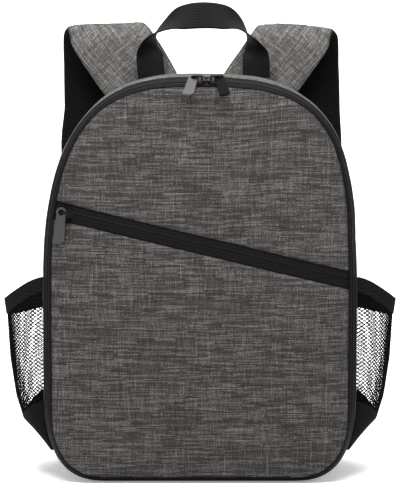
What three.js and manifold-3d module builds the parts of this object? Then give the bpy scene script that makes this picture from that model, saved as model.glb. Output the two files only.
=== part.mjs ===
// A camera backpack that stands on its base: a hollow body with an arched outline, a front
// panel that opens on a zip round its edge, a slanted zip across the front panel for its outer
// pocket, a net pocket on each side, a webbing handle and two padded shoulder straps.
// Millimetres, +Z up, the front faces -Y, and the origin is on the floor under the base.
import * as THREE from "three";
import { mergeVertices } from "three/addons/utils/BufferGeometryUtils.js";
import Module from "manifold-3d";

const manifold = await Module();
manifold.setup();

// Driving dimensions

const GAP = 0.3;

// The outline seen from the front: a superelliptic arch over straight sides and round corners.
// halfDepth is half the depth of the walls, from the front seam to the back one.
const BODY = {
  halfWidth: 150,
  top: 389,
  bottom: 0,
  halfDepth: 58,
  spring: 169,
  archPower: 2.8,
  cornerWidth: 64,
  cornerHeight: 101,
  cornerPower: 2.9,
};
// The front panel lies inside the body's outline by the width of the zip's edge strip.
const STRIP = { side: 8.5, top: 9, bottom: 6 };
const PANEL = {
  halfWidth: BODY.halfWidth - STRIP.side,
  top: BODY.top - STRIP.top,
  bottom: BODY.bottom + STRIP.bottom,
  spring: BODY.spring,
  archPower: 3,
  cornerWidth: 50,
  cornerHeight: 60,
  cornerPower: 2.3,
};
const PANEL_CENTRE = { x: 0, z: BODY.top / 2 };
const BASE_TURN = 20; // degrees of each bottom corner that belong to the base
const SEAM_TURN = 0.4; // degrees left open between the base and what runs over the top
const SMOOTH = { flat: 3, corner: 7, side: 2, arch: 15 };

// Wall profiles, from the front edge outside round to the front edge inside. They are set in from
// the outline by shares of the wall's crown and thickness; depth is a share of the half depth.
const WALL = { crown: 2, thickness: 5.5 };
const FRONT_SEAM = -0.974; // share of the half depth where the walls end in front
const GUSSET_PROFILE = [
  { crown: 0.7, wall: 0, depth: FRONT_SEAM },
  { crown: 0, wall: 0, depth: -0.862 },
  { crown: -0.7, wall: 0, depth: -0.414 },
  { crown: -1, wall: 0, depth: 0.034 },
  { crown: -0.7, wall: 0, depth: 0.448 },
  { crown: 0, wall: 0, depth: 0.862 },
  { crown: 1.25, wall: 0, depth: 1 },
  { crown: 1.25, wall: 1.09, depth: 1 },
  { crown: 0, wall: 0.91, depth: 0.828 },
  { crown: -1, wall: 1, depth: 0.034 },
  { crown: 0, wall: 1, depth: -0.793 },
  { crown: 0.7, wall: 1.11, depth: FRONT_SEAM },
];
const BASE_PROFILE = [
  { crown: 0.7, wall: 0, depth: FRONT_SEAM },
  { crown: 0, wall: 0, depth: -0.897 },
  { crown: 0, wall: 0, depth: 0.931 },
  { crown: 1.25, wall: 0, depth: 1 },
  { crown: 1.25, wall: 1.09, depth: 1 },
  { crown: 0, wall: 1.09, depth: 0.828 },
  { crown: 0, wall: 1.09, depth: -0.793 },
  { crown: 0.7, wall: 1.11, depth: FRONT_SEAM },
];

// What stands in front of the walls, as shares of how far the panel's middle stands out.
const FRONT_RISE = 18.5;
// The zip tape spans from the body's outline (across 0) to the front panel's (across 1).
const TAPE_PROFILE = [
  { across: 0.18, rise: 0.043 },
  { across: 0.55, rise: 0.405 },
  { across: 0.95, rise: 0.654 },
  { across: 0.95, rise: 0.557 },
  { across: 0.66, rise: 0.351 },
  { across: 0.36, rise: 0.043 },
];
// Padded faces as rows from the middle to the edge: scale is the share of the outline.
const FRONT_FACE = [
  { scale: 0.3, rise: 1 },
  { scale: 0.55, rise: 0.957 },
  { scale: 0.8, rise: 0.87 },
  { scale: 0.93, rise: 0.784 },
  { scale: 0.985, rise: 0.708 },
  { scale: 1, rise: 0.595 },
];
const FRONT_LINING = [
  { scale: 0.3, rise: 0.708 },
  { scale: 0.8, rise: 0.578 },
  { scale: 1, rise: 0.438 },
];
// The back panel, as shares of its padding's thickness.
const BACK_PAD = 13.2;
const BACK_FACE = [
  { scale: 0.3, rise: 1 },
  { scale: 0.8, rise: 0.977 },
  { scale: 0.95, rise: 0.932 },
  { scale: 0.98, rise: 0.773 },
  { scale: 0.99, rise: 0.356 },
];
const BACK_LINING = [
  { scale: 0.3, rise: 0 },
  { scale: 0.98, rise: 0 },
];

// The slanted pocket zip, in a frame that runs along it: along to the right, rise across it.
const POCKET_ZIP = { x: 0, z: 230.5, slopeDeg: 13.5, halfWidth: 8.2, recess: 1.5, thickness: 1.6 };
const PRISM_MARGIN = 15;

// Zip sliders and pulls
const SLIDER = { length: 14.4, width: 9, tail: 6.4, thickness: 2.6, corner: 1.6 };
const BRIDGE = { half: 4, wire: 1.8, width: 2, rise: 3, root: 1, chamfer: 1 };
const PULL = {
  thickness: 1.8,
  lift: 0.6,
  head: 4.9,
  hole: 2.8,
  neck: 8.8,
  tip: 10.2,
  length: 29.8,
  chamfer: 3,
};
const TAPE_CREST = TAPE_PROFILE[1]; // the row of the zip tape on which the main sliders sit
const MAIN_SLIDER_TILT = 31; // degrees from upright
const MAIN_SLIDERS = [
  { side: "left", x: -2.2, foot: -1, swivelDeg: -10 },
  { side: "right", x: 14.2, foot: 1, swivelDeg: 10 },
];
// The pocket's slider stops short of the panel's edge and stands clear of the cut's edges.
const POCKET_SLIDER = { edgeInset: 11, standOff: 0.9, foot: -1, swivelDeg: 7.5 };

// The top handle: the webbing turns over from flat legs to a flat top band. x is a share of the
// half span, and rise a share of the handle's height over the body.
const HANDLE = { width: 27, thickness: 2.2, halfSpan: 56.5, rise: 58.5, steps: 40 };
const HANDLE_ROUTE = [
  { x: -0.858, rise: -0.062, across: [-1, 0, -0.14] },
  { x: -0.894, rise: 0.291, across: [-1, -0.15, 0] },
  { x: -0.885, rise: 0.513, across: [-0.6, -0.8, 0] },
  { x: -0.823, rise: 0.701, across: [-0.12, -1, -0.1] },
  { x: -0.619, rise: 0.872, across: [0, -0.85, -0.5] },
  { x: -0.336, rise: 0.966, across: [0, -0.4, -0.92] },
  { x: 0.018, rise: 1, across: [0, -0.2, -0.98] },
  { x: 0.425, rise: 0.966, across: [0, -0.4, -0.92] },
  { x: 0.69, rise: 0.846, across: [0, -0.85, -0.5] },
  { x: 0.85, rise: 0.667, across: [0.12, -1, -0.1] },
  { x: 0.938, rise: 0.479, across: [0.6, -0.8, 0] },
  { x: 0.991, rise: 0.274, across: [1, -0.15, 0] },
  { x: 1, rise: -0.068, across: [1, 0, -0.17] },
];

// The left shoulder strap, from the back panel up, over its fold and down behind. x is a share
// of the strap's spread, out of its reach behind the back panel, height of the body's top, and
// width of the strap's width. seat is how far its padding lies off the back panel.
const STRAP = {
  width: 75,
  spread: 103,
  reach: 37.65,
  seat: 1.35,
  outer: 5.5,
  lining: 4,
  gap: 0.5,
  edge: 2.2,
  margin: 2.5,
  bevel: 1.5,
  steps: 48,
};
const STRAP_ROUTE = [
  { x: -0.456, out: 0, height: 0.915, across: [0.82, 0, 0.57], width: 0.96 },
  { x: -0.573, out: 0.07, height: 0.969, across: [0.85, 0, 0.53], width: 0.973 },
  { x: -0.752, out: 0.19, height: 1.039, across: [0.94, 0, 0.34], width: 0.987 },
  { x: -0.893, out: 0.349, height: 1.09, across: [0.985, 0, 0.17], width: 1 },
  { x: -0.956, out: 0.628, height: 1.109, across: [0.995, 0, 0.1], width: 1 },
  { x: -0.99, out: 0.907, height: 1.087, across: [1, 0, 0.05], width: 1 },
  { x: -1, out: 1, height: 1.018, across: [1, 0, 0], width: 0.973 },
  { x: -1, out: 0.987, height: 0.848, across: [1, 0, 0], width: 0.96 },
  { x: -1.01, out: 0.827, height: 0.668, across: [1, 0, 0], width: 0.92 },
  { x: -1.049, out: 0.721, height: 0.514, across: [1, 0, 0.05], width: 0.8 },
  { x: -1.107, out: 0.615, height: 0.396, across: [1, 0, 0.1], width: 0.56 },
];

// A plain loop of plastic that hangs below the strap's end, whose slot passes the webbing.
const ADJUSTER = {
  drop: 16.2,
  width: 36,
  height: 26,
  thickness: 4,
  slotWidth: 29,
  slotHeight: 8,
  slotDrop: 2.4,
  slotCorner: 1.5,
  corner: 3,
};
// The tab that anchors the webbing: x is a share of the body's half width, height of its bottom
// corner's height, out of the tab's lean off the back panel, and width of the tab's width.
const TAB = { width: 36, thickness: 2.4, seat: 0.6, lean: 1.3, steps: 4 };
const TAB_ROUTE = [
  { x: -0.887, out: 0, height: 0.376, across: [0.75, 0, -0.66], width: 1 },
  { x: -0.867, out: 0.54, height: 0.495, across: [0.9, 0, -0.35], width: 0.861 },
  { x: -0.84, out: 1, height: 0.634, across: [1, 0, 0.1], width: 0.75 },
];
// The webbing climbs from the tab to the adjuster, as shares of that climb, and then turns
// through the adjuster's slot: depth is a share of how far it lies from the plate's middle, and
// height and side are shares of the plate's height.
const WEBBING = {
  width: 25,
  thickness: 1.6,
  side: 3,
  clearance: 0.6,
  stepsPerRow: 3,
  across: [1, 0, 0],
};
const WEBBING_CLIMB = [
  { x: 0, y: 0, z: 0 },
  { x: 0.09, y: 0.048, z: 0.162 },
  { x: 0.455, y: 0.423, z: 0.459 },
  { x: 0.91, y: 0.904, z: 0.838 },
];
const WEBBING_TURN = [
  { side: -0.038, depth: -1, height: -0.531 },
  { side: -0.019, depth: -1, height: -0.269 },
  { side: 0, depth: -0.47, height: -0.138 },
  { side: 0, depth: 0.47, height: -0.138 },
  { side: -0.019, depth: 1, height: -0.269 },
  { side: -0.038, depth: 1, height: -0.531 },
  { side: -0.115, depth: 0.18, height: -1.3 },
];

// The side pockets. Heights are shares of the pocket's top on its front seam, on the seams and on
// the wall's outermost line, and bulge is a share of how far it stands out from the body.
const POCKET = {
  top: 197,
  bulge: 46,
  seamInset: 6,
  seat: 1.2,
  power: 2.3,
  netWall: 1.5,
  baseWall: 2.2,
  baseProud: 0.3,
  rimWall: 2.8,
  rimProud: 0.6,
  rimHeight: 13,
  crown: 2.6,
};
const POCKET_REACH = [
  { height: 0.122, bulge: -0.13 },
  { height: 0.269, bulge: 0.535 },
  { height: 0.376, bulge: 0.678 },
  { height: 0.569, bulge: 0.804 },
  { height: 0.797, bulge: 0.87 },
  { height: 1.015, bulge: 1 },
];
const POCKET_LEVELS = [
  { turnDeg: 0, rimTop: 1, netBottom: 0.401, floor: 0.152 },
  { turnDeg: 45, rimTop: 0.949, netBottom: 0.335, floor: 0.137 },
  { turnDeg: 90, rimTop: 0.878, netBottom: 0.274, floor: 0.127 },
  { turnDeg: 135, rimTop: 0.858, netBottom: 0.325, floor: 0.137 },
  { turnDeg: 180, rimTop: 0.868, netBottom: 0.386, floor: 0.152 },
];
const POCKET_TURN = { first: 1, last: 179, steps: 16 }; // degrees, clear of the body's seams
const NET_ROWS = 5;
const BASE_ROWS = 6;

const COLOURS = {
  greyFabric: 0x6e6a69,
  blackFabric: 0x232324,
  webbing: 0x2b2b2c,
  mesh: 0x141415,
  net: 0x101011,
  elastic: 0x1a1a1b,
  zipTape: 0x1e1e1f,
  gunmetal: 0x57544f,
  blackPlastic: 0x18181a,
};

// Materials

function fabric(colour, roughness = 0.95) {
  return new THREE.MeshStandardMaterial({ color: colour, roughness, metalness: 0 });
}

const GREY_FABRIC = fabric(COLOURS.greyFabric);
const BLACK_FABRIC = fabric(COLOURS.blackFabric);
const WEBBING_FABRIC = fabric(COLOURS.webbing, 0.8);
const MESH_FABRIC = fabric(COLOURS.mesh);
const NET_FABRIC = fabric(COLOURS.net);
const ELASTIC = fabric(COLOURS.elastic, 0.85);
const ZIP_TAPE = fabric(COLOURS.zipTape, 0.75);
const BLACK_PLASTIC = fabric(COLOURS.blackPlastic, 0.45);
const GUNMETAL = new THREE.MeshStandardMaterial({
  color: COLOURS.gunmetal,
  roughness: 0.35,
  metalness: 0.9,
});

// Small helpers

const lerp = THREE.MathUtils.lerp;
const radians = THREE.MathUtils.degToRad;

// Depths in front of the walls and behind them
const frontY = (rise) => FRONT_SEAM * BODY.halfDepth - rise * FRONT_RISE;
const backY = (rise) => BODY.halfDepth + GAP + rise * BACK_PAD;

function stations(count, at) {
  return Array.from({ length: count + 1 }, (_, i) => at(i / count));
}

// The value of a column at a key, from table rows in order of that key.
function lookUp(rows, keyName, valueName, key) {
  const next = rows.findIndex((row) => row[keyName] >= key);
  if (next === 0) return rows[0][valueName];
  if (next < 0) return rows[rows.length - 1][valueName];
  const [a, b] = [rows[next - 1], rows[next]];
  return lerp(a[valueName], b[valueName], (key - a[keyName]) / (b[keyName] - a[keyName]));
}

// The outlines

function superPoint(angle, power) {
  const [c, s] = [Math.cos(angle), Math.sin(angle)];
  const r = (Math.abs(c) ** power + Math.abs(s) ** power) ** (-1 / power);
  return { u: c * r, v: s * r };
}

// A point of a superellipse round (cx, cz) with its outward normal.
function superellipsePoint({ cx, cz, width, height, power }, angleDeg) {
  const { u, v } = superPoint(radians(angleDeg), power);
  const nx = (Math.sign(u) * Math.abs(u) ** (power - 1)) / width;
  const nz = (Math.sign(v) * Math.abs(v) ** (power - 1)) / height;
  const size = Math.hypot(nx, nz);
  return { x: cx + width * u, z: cz + height * v, nx: nx / size, nz: nz / size };
}

function cornerPoint(shape, angleDeg) {
  const corner = {
    cx: shape.halfWidth - shape.cornerWidth,
    cz: shape.bottom + shape.cornerHeight,
    width: shape.cornerWidth,
    height: shape.cornerHeight,
    power: shape.cornerPower,
  };
  return superellipsePoint(corner, angleDeg);
}

function archPoint(shape, angleDeg) {
  const arch = {
    cx: 0,
    cz: shape.spring,
    width: shape.halfWidth,
    height: shape.top - shape.spring,
    power: shape.archPower,
  };
  return superellipsePoint(arch, angleDeg);
}

function mirrored(point) {
  return { ...point, x: -point.x, nx: -point.nx };
}

function sidePoints(shape) {
  const low = shape.bottom + shape.cornerHeight;
  return stations(SMOOTH.side, (t) => ({
    x: shape.halfWidth,
    z: lerp(low, shape.spring, t),
    nx: 1,
    nz: 0,
  })).slice(1, -1);
}

function archHalf(shape) {
  return stations(SMOOTH.arch, (t) => archPoint(shape, 90 * t));
}

// From the right bottom corner up the side, over the top and down to the left corner.
function upperOutline(shape) {
  const corner = stations(SMOOTH.corner, (t) => cornerPoint(shape, lerp(BASE_TURN - 90, 0, t)));
  const half = [...corner, ...sidePoints(shape), ...archHalf(shape)];
  return [...half, ...half.slice(0, -1).reverse().map(mirrored)];
}

// From the left bottom corner along the flat bottom to the right one.
function lowerOutline(shape) {
  const flat = stations(SMOOTH.flat, (t) => ({
    x: (shape.halfWidth - shape.cornerWidth) * t,
    z: shape.bottom,
    nx: 0,
    nz: -1,
  }));
  const last = BASE_TURN - SEAM_TURN - 90;
  const corner = stations(2, (t) => cornerPoint(shape, lerp(-90, last, t))).slice(1);
  const half = [...flat, ...corner];
  return [...half.slice(1).reverse().map(mirrored), ...half];
}

function closedOutline(shape) {
  const flat = { x: shape.halfWidth - shape.cornerWidth, z: shape.bottom };
  const corner = stations(SMOOTH.corner, (t) => cornerPoint(shape, lerp(-90, 0, t))).slice(1);
  const half = [flat, ...corner, ...sidePoints(shape), ...archHalf(shape)];
  return [...half, ...half.slice(0, -1).reverse().map(mirrored)];
}

// Half of the body's width at a height on its straight sides or bottom corners.
function bodyHalfWidth(z) {
  if (z >= BODY.cornerHeight) return BODY.halfWidth;
  const v = (BODY.cornerHeight - z) / BODY.cornerHeight;
  const u = (1 - v ** BODY.cornerPower) ** (1 / BODY.cornerPower);
  return BODY.halfWidth - BODY.cornerWidth + BODY.cornerWidth * u;
}

// Solids from sections

// Triangles that close a flat section, in the section's own order.
function capTriangles(section) {
  const normal = new THREE.Vector3();
  section.forEach((p, i) => {
    const q = section[(i + 1) % section.length];
    normal.add(new THREE.Vector3().crossVectors(p, q));
  });
  normal.normalize();
  const side = new THREE.Vector3().subVectors(section[1], section[0]).normalize();
  const up = new THREE.Vector3().crossVectors(normal, side);
  const flat = section.map((p) => new THREE.Vector2(p.dot(side), p.dot(up)));
  return THREE.ShapeUtils.triangulateShape(flat, []);
}

function signedVolume(points, triangles) {
  const cross = new THREE.Vector3();
  return triangles.reduce((sum, [a, b, c]) => {
    cross.crossVectors(points[b], points[c]);
    return sum + points[a].dot(cross) / 6;
  }, 0);
}

// A closed body through sections that all have the same number of points.
function loft(sections) {
  const count = sections[0].length;
  const points = sections.flat();
  const triangles = [];
  for (let s = 0; s + 1 < sections.length; s += 1) {
    for (let i = 0; i < count; i += 1) {
      const j = (i + 1) % count;
      const [a, b, c, d] = [s * count + i, s * count + j, (s + 1) * count + j, (s + 1) * count + i];
      triangles.push([a, b, c], [a, c, d]);
    }
  }
  const last = (sections.length - 1) * count;
  for (const [a, b, c] of capTriangles(sections[0])) triangles.push([a, c, b]);
  for (const [a, b, c] of capTriangles(sections[sections.length - 1])) {
    triangles.push([last + a, last + b, last + c]);
  }
  const outward = signedVolume(points, triangles) > 0;
  const geometry = new THREE.BufferGeometry().setFromPoints(points);
  geometry.setIndex(triangles.flatMap(([a, b, c]) => (outward ? [a, b, c] : [a, c, b])));
  geometry.computeVertexNormals();
  return geometry;
}

// A flat face and its lining, both rows from the middle out, as one padded slab.
function slab(outline, faceRows, liningRows, yAt) {
  const rows = [...faceRows, ...[...liningRows].reverse()];
  return loft(
    rows.map(({ scale, rise, set = 0 }) =>
      outline.map(
        (p) =>
          new THREE.Vector3(
            PANEL_CENTRE.x + (p.x - PANEL_CENTRE.x) * scale,
            yAt(rise) + set,
            PANEL_CENTRE.z + (p.z - PANEL_CENTRE.z) * scale,
          ),
      ),
    ),
  );
}

// A wall that follows an outline, with its profile set in from it.
function wall(outline, profile) {
  const corners = profile.map(({ crown, wall: share, depth }) => ({
    inset: crown * WALL.crown + share * WALL.thickness,
    y: depth * BODY.halfDepth,
  }));
  return loft(
    outline.map((p) =>
      corners.map(({ inset, y }) => new THREE.Vector3(p.x - p.nx * inset, y, p.z - p.nz * inset)),
    ),
  );
}

// A strip between the body's outline and the front panel's.
function edgeStrip(outer, inner) {
  return loft(
    outer.map((p, i) =>
      TAPE_PROFILE.map(
        ({ across, rise }) =>
          new THREE.Vector3(
            lerp(p.x, inner[i].x, across),
            frontY(rise),
            lerp(p.z, inner[i].z, across),
          ),
      ),
    ),
  );
}

// A smooth route through table rows: at(t) gives the place, the two directions and the width.
function routeOf(rows, width) {
  const places = new THREE.CatmullRomCurve3(rows.map(({ x, y, z }) => new THREE.Vector3(x, y, z)));
  const acrosses = new THREE.CatmullRomCurve3(rows.map((row) => new THREE.Vector3(...row.across)));
  const widths = rows.map((row) => row.width ?? width);
  return (t) => {
    const place = places.getPoint(t);
    const tangent = places.getTangent(t);
    const across = acrosses.getPoint(t);
    across.addScaledVector(tangent, -across.dot(tangent)).normalize();
    const outward = new THREE.Vector3().crossVectors(across, tangent);
    const position = t * (rows.length - 1);
    const index = Math.min(Math.floor(position), rows.length - 2);
    return { place, across, outward, width: lerp(widths[index], widths[index + 1], position - index) };
  };
}

// A strip swept along a route: sectionOf(width) lists its corners as [across, outward].
function sweep(route, steps, sectionOf) {
  return loft(
    stations(steps, (t) => {
      const { place, across, outward, width } = route(t);
      return sectionOf(width).map(([a, n]) =>
        place.clone().addScaledVector(across, a).addScaledVector(outward, n),
      );
    }),
  );
}

function flatSection(thickness) {
  return (width) => [
    [-width / 2, -thickness / 2],
    [width / 2, -thickness / 2],
    [width / 2, thickness / 2],
    [-width / 2, thickness / 2],
  ];
}

// Solids cut with other solids

function solidOf(geometry) {
  const bare = geometry.clone();
  bare.deleteAttribute("normal");
  bare.deleteAttribute("uv");
  const merged = mergeVertices(bare, 1e-4);
  const vertProperties = new Float32Array(merged.attributes.position.array);
  const triVerts = new Uint32Array(merged.index.array);
  return new manifold.Manifold(new manifold.Mesh({ numProp: 3, vertProperties, triVerts }));
}

function geometryOf(solid) {
  const { vertProperties, triVerts, numProp } = solid.getMesh();
  const geometry = new THREE.BufferGeometry();
  geometry.setAttribute("position", new THREE.BufferAttribute(vertProperties, numProp));
  geometry.setIndex(new THREE.BufferAttribute(triVerts, 1));
  geometry.computeVertexNormals();
  return geometry;
}

function intersection(a, b) {
  return geometryOf(solidOf(a).intersect(solidOf(b)));
}

function union(a, b) {
  return geometryOf(solidOf(a).add(solidOf(b)));
}

function plate(shape, thickness) {
  return new THREE.ExtrudeGeometry(shape, {
    depth: thickness,
    bevelEnabled: false,
    curveSegments: 5,
  });
}

function roundedRectangle(width, height, corner) {
  const [w, h] = [width / 2, height / 2];
  const shape = new THREE.Shape();
  shape.moveTo(-w + corner, -h);
  shape.lineTo(w - corner, -h);
  shape.absarc(w - corner, -h + corner, corner, -Math.PI / 2, 0);
  shape.lineTo(w, h - corner);
  shape.absarc(w - corner, h - corner, corner, 0, Math.PI / 2);
  shape.lineTo(-w + corner, h);
  shape.absarc(-w + corner, h - corner, corner, Math.PI / 2, Math.PI);
  shape.lineTo(-w, -h + corner);
  shape.absarc(-w + corner, -h + corner, corner, Math.PI, 1.5 * Math.PI);
  return shape;
}

// The body's walls

function gusset() {
  return wall(upperOutline(BODY), GUSSET_PROFILE);
}

function base() {
  return wall(lowerOutline(BODY), BASE_PROFILE);
}

function mainZipTape() {
  return edgeStrip(upperOutline(BODY), upperOutline(PANEL));
}

function bottomStrip() {
  return edgeStrip(lowerOutline(BODY), lowerOutline(PANEL));
}

function backPanel() {
  return slab(closedOutline(BODY), BACK_FACE, BACK_LINING, backY);
}

// The front panel and its slanted zip

function pocketZipPoint(along, rise) {
  const slope = radians(POCKET_ZIP.slopeDeg);
  return {
    x: POCKET_ZIP.x + along * Math.cos(slope) + rise * Math.sin(slope),
    z: POCKET_ZIP.z - along * Math.sin(slope) + rise * Math.cos(slope),
  };
}

// A prism through the front panel, from corners given along and across the pocket zip.
function zipPrism(corners) {
  const outline = corners.map(([along, rise]) => pocketZipPoint(along, rise));
  const shape = new THREE.Shape(outline.map(({ x, z }) => new THREE.Vector2(x, z)));
  return plate(shape, FRONT_RISE + PRISM_MARGIN)
    .rotateX(Math.PI / 2)
    .translate(0, frontY(0), 0);
}

function frontPanelSlab() {
  return slab(closedOutline(PANEL), FRONT_FACE, FRONT_LINING, frontY);
}

function frontPanelUpper() {
  const edge = POCKET_ZIP.halfWidth + GAP;
  const reach = 2 * BODY.top;
  const corners = [
    [-reach, edge],
    [reach, edge],
    [reach, reach],
    [-reach, reach],
  ];
  return intersection(frontPanelSlab(), zipPrism(corners));
}

function frontPanelLower() {
  const edge = POCKET_ZIP.halfWidth + GAP;
  const reach = 2 * BODY.top;
  const corners = [
    [-reach, -edge],
    [-reach, -reach],
    [reach, -reach],
    [reach, -edge],
  ];
  return intersection(frontPanelSlab(), zipPrism(corners));
}

function pocketZipTape() {
  const face = FRONT_FACE.map((row) => ({ ...row, set: POCKET_ZIP.recess }));
  const back = FRONT_FACE.map((row) => ({ ...row, set: POCKET_ZIP.recess + POCKET_ZIP.thickness }));
  const reach = 2 * BODY.top;
  const corners = [
    [-reach, POCKET_ZIP.halfWidth],
    [-reach, -POCKET_ZIP.halfWidth],
    [reach, -POCKET_ZIP.halfWidth],
    [reach, POCKET_ZIP.halfWidth],
  ];
  return intersection(slab(closedOutline(PANEL), face, back, frontY), zipPrism(corners));
}

// Sliders and pulls, drawn lying on the tape: X along the zip, Z out of it

function sliderBody() {
  const [l, w, t, c] = [SLIDER.length / 2, SLIDER.width / 2, SLIDER.tail / 2, SLIDER.corner];
  const shape = new THREE.Shape();
  shape.moveTo(-l, -t + c);
  shape.lineTo(-l + c, -t);
  shape.lineTo(l - 2 * c, -w);
  shape.lineTo(l, -w + 2 * c);
  shape.lineTo(l, w - 2 * c);
  shape.lineTo(l - 2 * c, w);
  shape.lineTo(-l + c, t);
  shape.lineTo(-l, t - c);
  return plate(shape, SLIDER.thickness);
}

// The bridge is a staple over the slider, whose feet stand in its top face.
function sliderBridge() {
  const reach = BRIDGE.half + BRIDGE.wire / 2;
  const inside = BRIDGE.half - BRIDGE.wire / 2;
  const top = BRIDGE.rise + BRIDGE.wire;
  const shape = new THREE.Shape();
  shape.moveTo(-reach, -BRIDGE.root);
  shape.lineTo(-inside, -BRIDGE.root);
  shape.lineTo(-inside, BRIDGE.rise);
  shape.lineTo(inside, BRIDGE.rise);
  shape.lineTo(inside, -BRIDGE.root);
  shape.lineTo(reach, -BRIDGE.root);
  shape.lineTo(reach, top - BRIDGE.chamfer);
  shape.lineTo(reach - BRIDGE.chamfer, top);
  shape.lineTo(-reach + BRIDGE.chamfer, top);
  shape.lineTo(-reach, top - BRIDGE.chamfer);
  return plate(shape, BRIDGE.width)
    .rotateX(Math.PI / 2)
    .translate(0, BRIDGE.width / 2, SLIDER.thickness);
}

function slider() {
  return union(sliderBody(), sliderBridge());
}

// The pull's eye is round the bridge's foot at the origin, and the tab points to -Y.
function pull() {
  const neck = PULL.neck / 2;
  const tip = PULL.tip / 2;
  const shoulder = Math.sqrt(PULL.head ** 2 - neck ** 2);
  const start = Math.atan2(-shoulder, neck);
  const shape = new THREE.Shape();
  shape.moveTo(-neck, -shoulder);
  shape.lineTo(-tip, -PULL.length);
  shape.lineTo(tip - PULL.chamfer, -PULL.length);
  shape.lineTo(tip, -PULL.length + PULL.chamfer);
  shape.lineTo(neck, -shoulder);
  shape.absarc(0, 0, PULL.head, start, Math.PI - start);
  const hole = new THREE.Path();
  hole.absarc(0, 0, PULL.hole, 0, 2 * Math.PI, true);
  shape.holes.push(hole);
  return new THREE.ExtrudeGeometry(shape, {
    depth: PULL.thickness,
    bevelEnabled: false,
    curveSegments: 10,
  });
}

// Handle, straps and pockets

function topHandle() {
  const seam = BACK_FACE[BACK_FACE.length - 1];
  const rows = HANDLE_ROUTE.map(({ x, rise, across }) => ({
    x: x * HANDLE.halfSpan,
    y: backY(seam.rise),
    z: BODY.top + rise * HANDLE.rise,
    across,
  }));
  return sweep(routeOf(rows, HANDLE.width), HANDLE.steps, flatSection(HANDLE.thickness));
}

function strapRows() {
  const seat = backY(1) + STRAP.lining + STRAP.seat;
  return STRAP_ROUTE.map(({ x, out, height, across, width }) => ({
    x: x * STRAP.spread,
    y: seat + out * STRAP.reach,
    z: height * BODY.top,
    across,
    width: width * STRAP.width,
  }));
}

function strapOuter() {
  return sweep(routeOf(strapRows()), STRAP.steps, (width) => {
    const [w, e] = [width / 2, STRAP.edge];
    return [
      [-w + STRAP.margin, 0],
      [w - STRAP.margin, 0],
      [w, e],
      [w - e, STRAP.outer],
      [-w + e, STRAP.outer],
      [-w, e],
    ];
  });
}

function strapLining() {
  return sweep(routeOf(strapRows()), STRAP.steps, (width) => {
    const w = width / 2 - STRAP.margin;
    return [
      [-w, -STRAP.gap],
      [w, -STRAP.gap],
      [w - STRAP.bevel, -STRAP.lining],
      [-w + STRAP.bevel, -STRAP.lining],
    ];
  });
}

// The tab's rows, on the back panel near the body's bottom corner.
function tabRows() {
  const seat = backY(1) + TAB.seat;
  return TAB_ROUTE.map(({ x, out, height, across, width }) => ({
    x: x * BODY.halfWidth,
    y: seat + out * TAB.lean,
    z: height * BODY.cornerHeight,
    across,
    width: width * TAB.width,
  }));
}

// The adjuster's middle, below the end of the strap.
function adjusterPlace() {
  const end = strapRows().at(-1);
  return { x: end.x, y: end.y, z: end.z - ADJUSTER.drop };
}

// The webbing's rows, from its foot on the tab, up to the adjuster and through its slot.
function webbingRows() {
  const tab = tabRows()[1];
  const plateAt = adjusterPlace();
  const turn = ADJUSTER.thickness / 2 + WEBBING.thickness / 2 + WEBBING.clearance;
  const foot = {
    x: tab.x + WEBBING.side,
    y: tab.y + (TAB.thickness + WEBBING.thickness) / 2 + GAP,
    z: tab.z,
  };
  const through = WEBBING_TURN.map(({ side, depth, height }) => ({
    x: plateAt.x + side * ADJUSTER.height,
    y: plateAt.y + depth * turn,
    z: plateAt.z + height * ADJUSTER.height,
  }));
  const climb = WEBBING_CLIMB.map((share) => ({
    x: lerp(foot.x, through[0].x, share.x),
    y: lerp(foot.y, through[0].y, share.y),
    z: lerp(foot.z, through[0].z, share.z),
  }));
  return [...climb, ...through].map((row) => ({ ...row, across: WEBBING.across }));
}

function strapWebbing() {
  const rows = webbingRows();
  const steps = (rows.length - 1) * WEBBING.stepsPerRow;
  return sweep(routeOf(rows, WEBBING.width), steps, flatSection(WEBBING.thickness));
}

function anchorTab() {
  return sweep(routeOf(tabRows()), TAB.steps, flatSection(TAB.thickness));
}

function adjuster() {
  const shape = roundedRectangle(ADJUSTER.width, ADJUSTER.height, ADJUSTER.corner);
  const { slotWidth, slotHeight, slotCorner } = ADJUSTER;
  const slot = roundedRectangle(slotWidth, slotHeight, slotCorner).getPoints(3);
  shape.holes.push(new THREE.Path(slot.map((p) => p.setY(p.y - ADJUSTER.slotDrop))));
  return plate(shape, ADJUSTER.thickness)
    .translate(0, 0, -ADJUSTER.thickness / 2)
    .rotateX(Math.PI / 2);
}

// A point of the left pocket's wall, set in from its outer face.
function pocketPoint(turnDeg, z, inset) {
  const { u, v } = superPoint(radians(turnDeg), POCKET.power);
  const side = bodyHalfWidth(z) + POCKET.seat + POCKET.crown * v;
  const bulge = lookUp(POCKET_REACH, "height", "bulge", z / POCKET.top) * POCKET.bulge;
  const reach = Math.max(BODY.halfWidth + bulge - side - inset, 0);
  const halfDepth = BODY.halfDepth - POCKET.seamInset - inset;
  return new THREE.Vector3(-side - reach * v, -halfDepth * u, z);
}

// A band of the pocket's wall between two heights, each a function of the turn round it.
function pocketBand(lowAt, highAt, rows, thickness, offset = 0) {
  return loft(
    stations(POCKET_TURN.steps, (t) => {
      const turn = lerp(POCKET_TURN.first, POCKET_TURN.last, t);
      const heights = stations(rows, (s) => lerp(lowAt(turn), highAt(turn), s));
      const outer = heights.map((z) => pocketPoint(turn, z, offset));
      const inner = heights.map((z) => pocketPoint(turn, z, offset + thickness));
      return [...outer, ...inner.reverse()];
    }),
  );
}

function levelAt(name) {
  return (turn) => lookUp(POCKET_LEVELS, "turnDeg", name, turn) * POCKET.top;
}

function rimBottom(turn) {
  return levelAt("rimTop")(turn) - POCKET.rimHeight;
}

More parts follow.
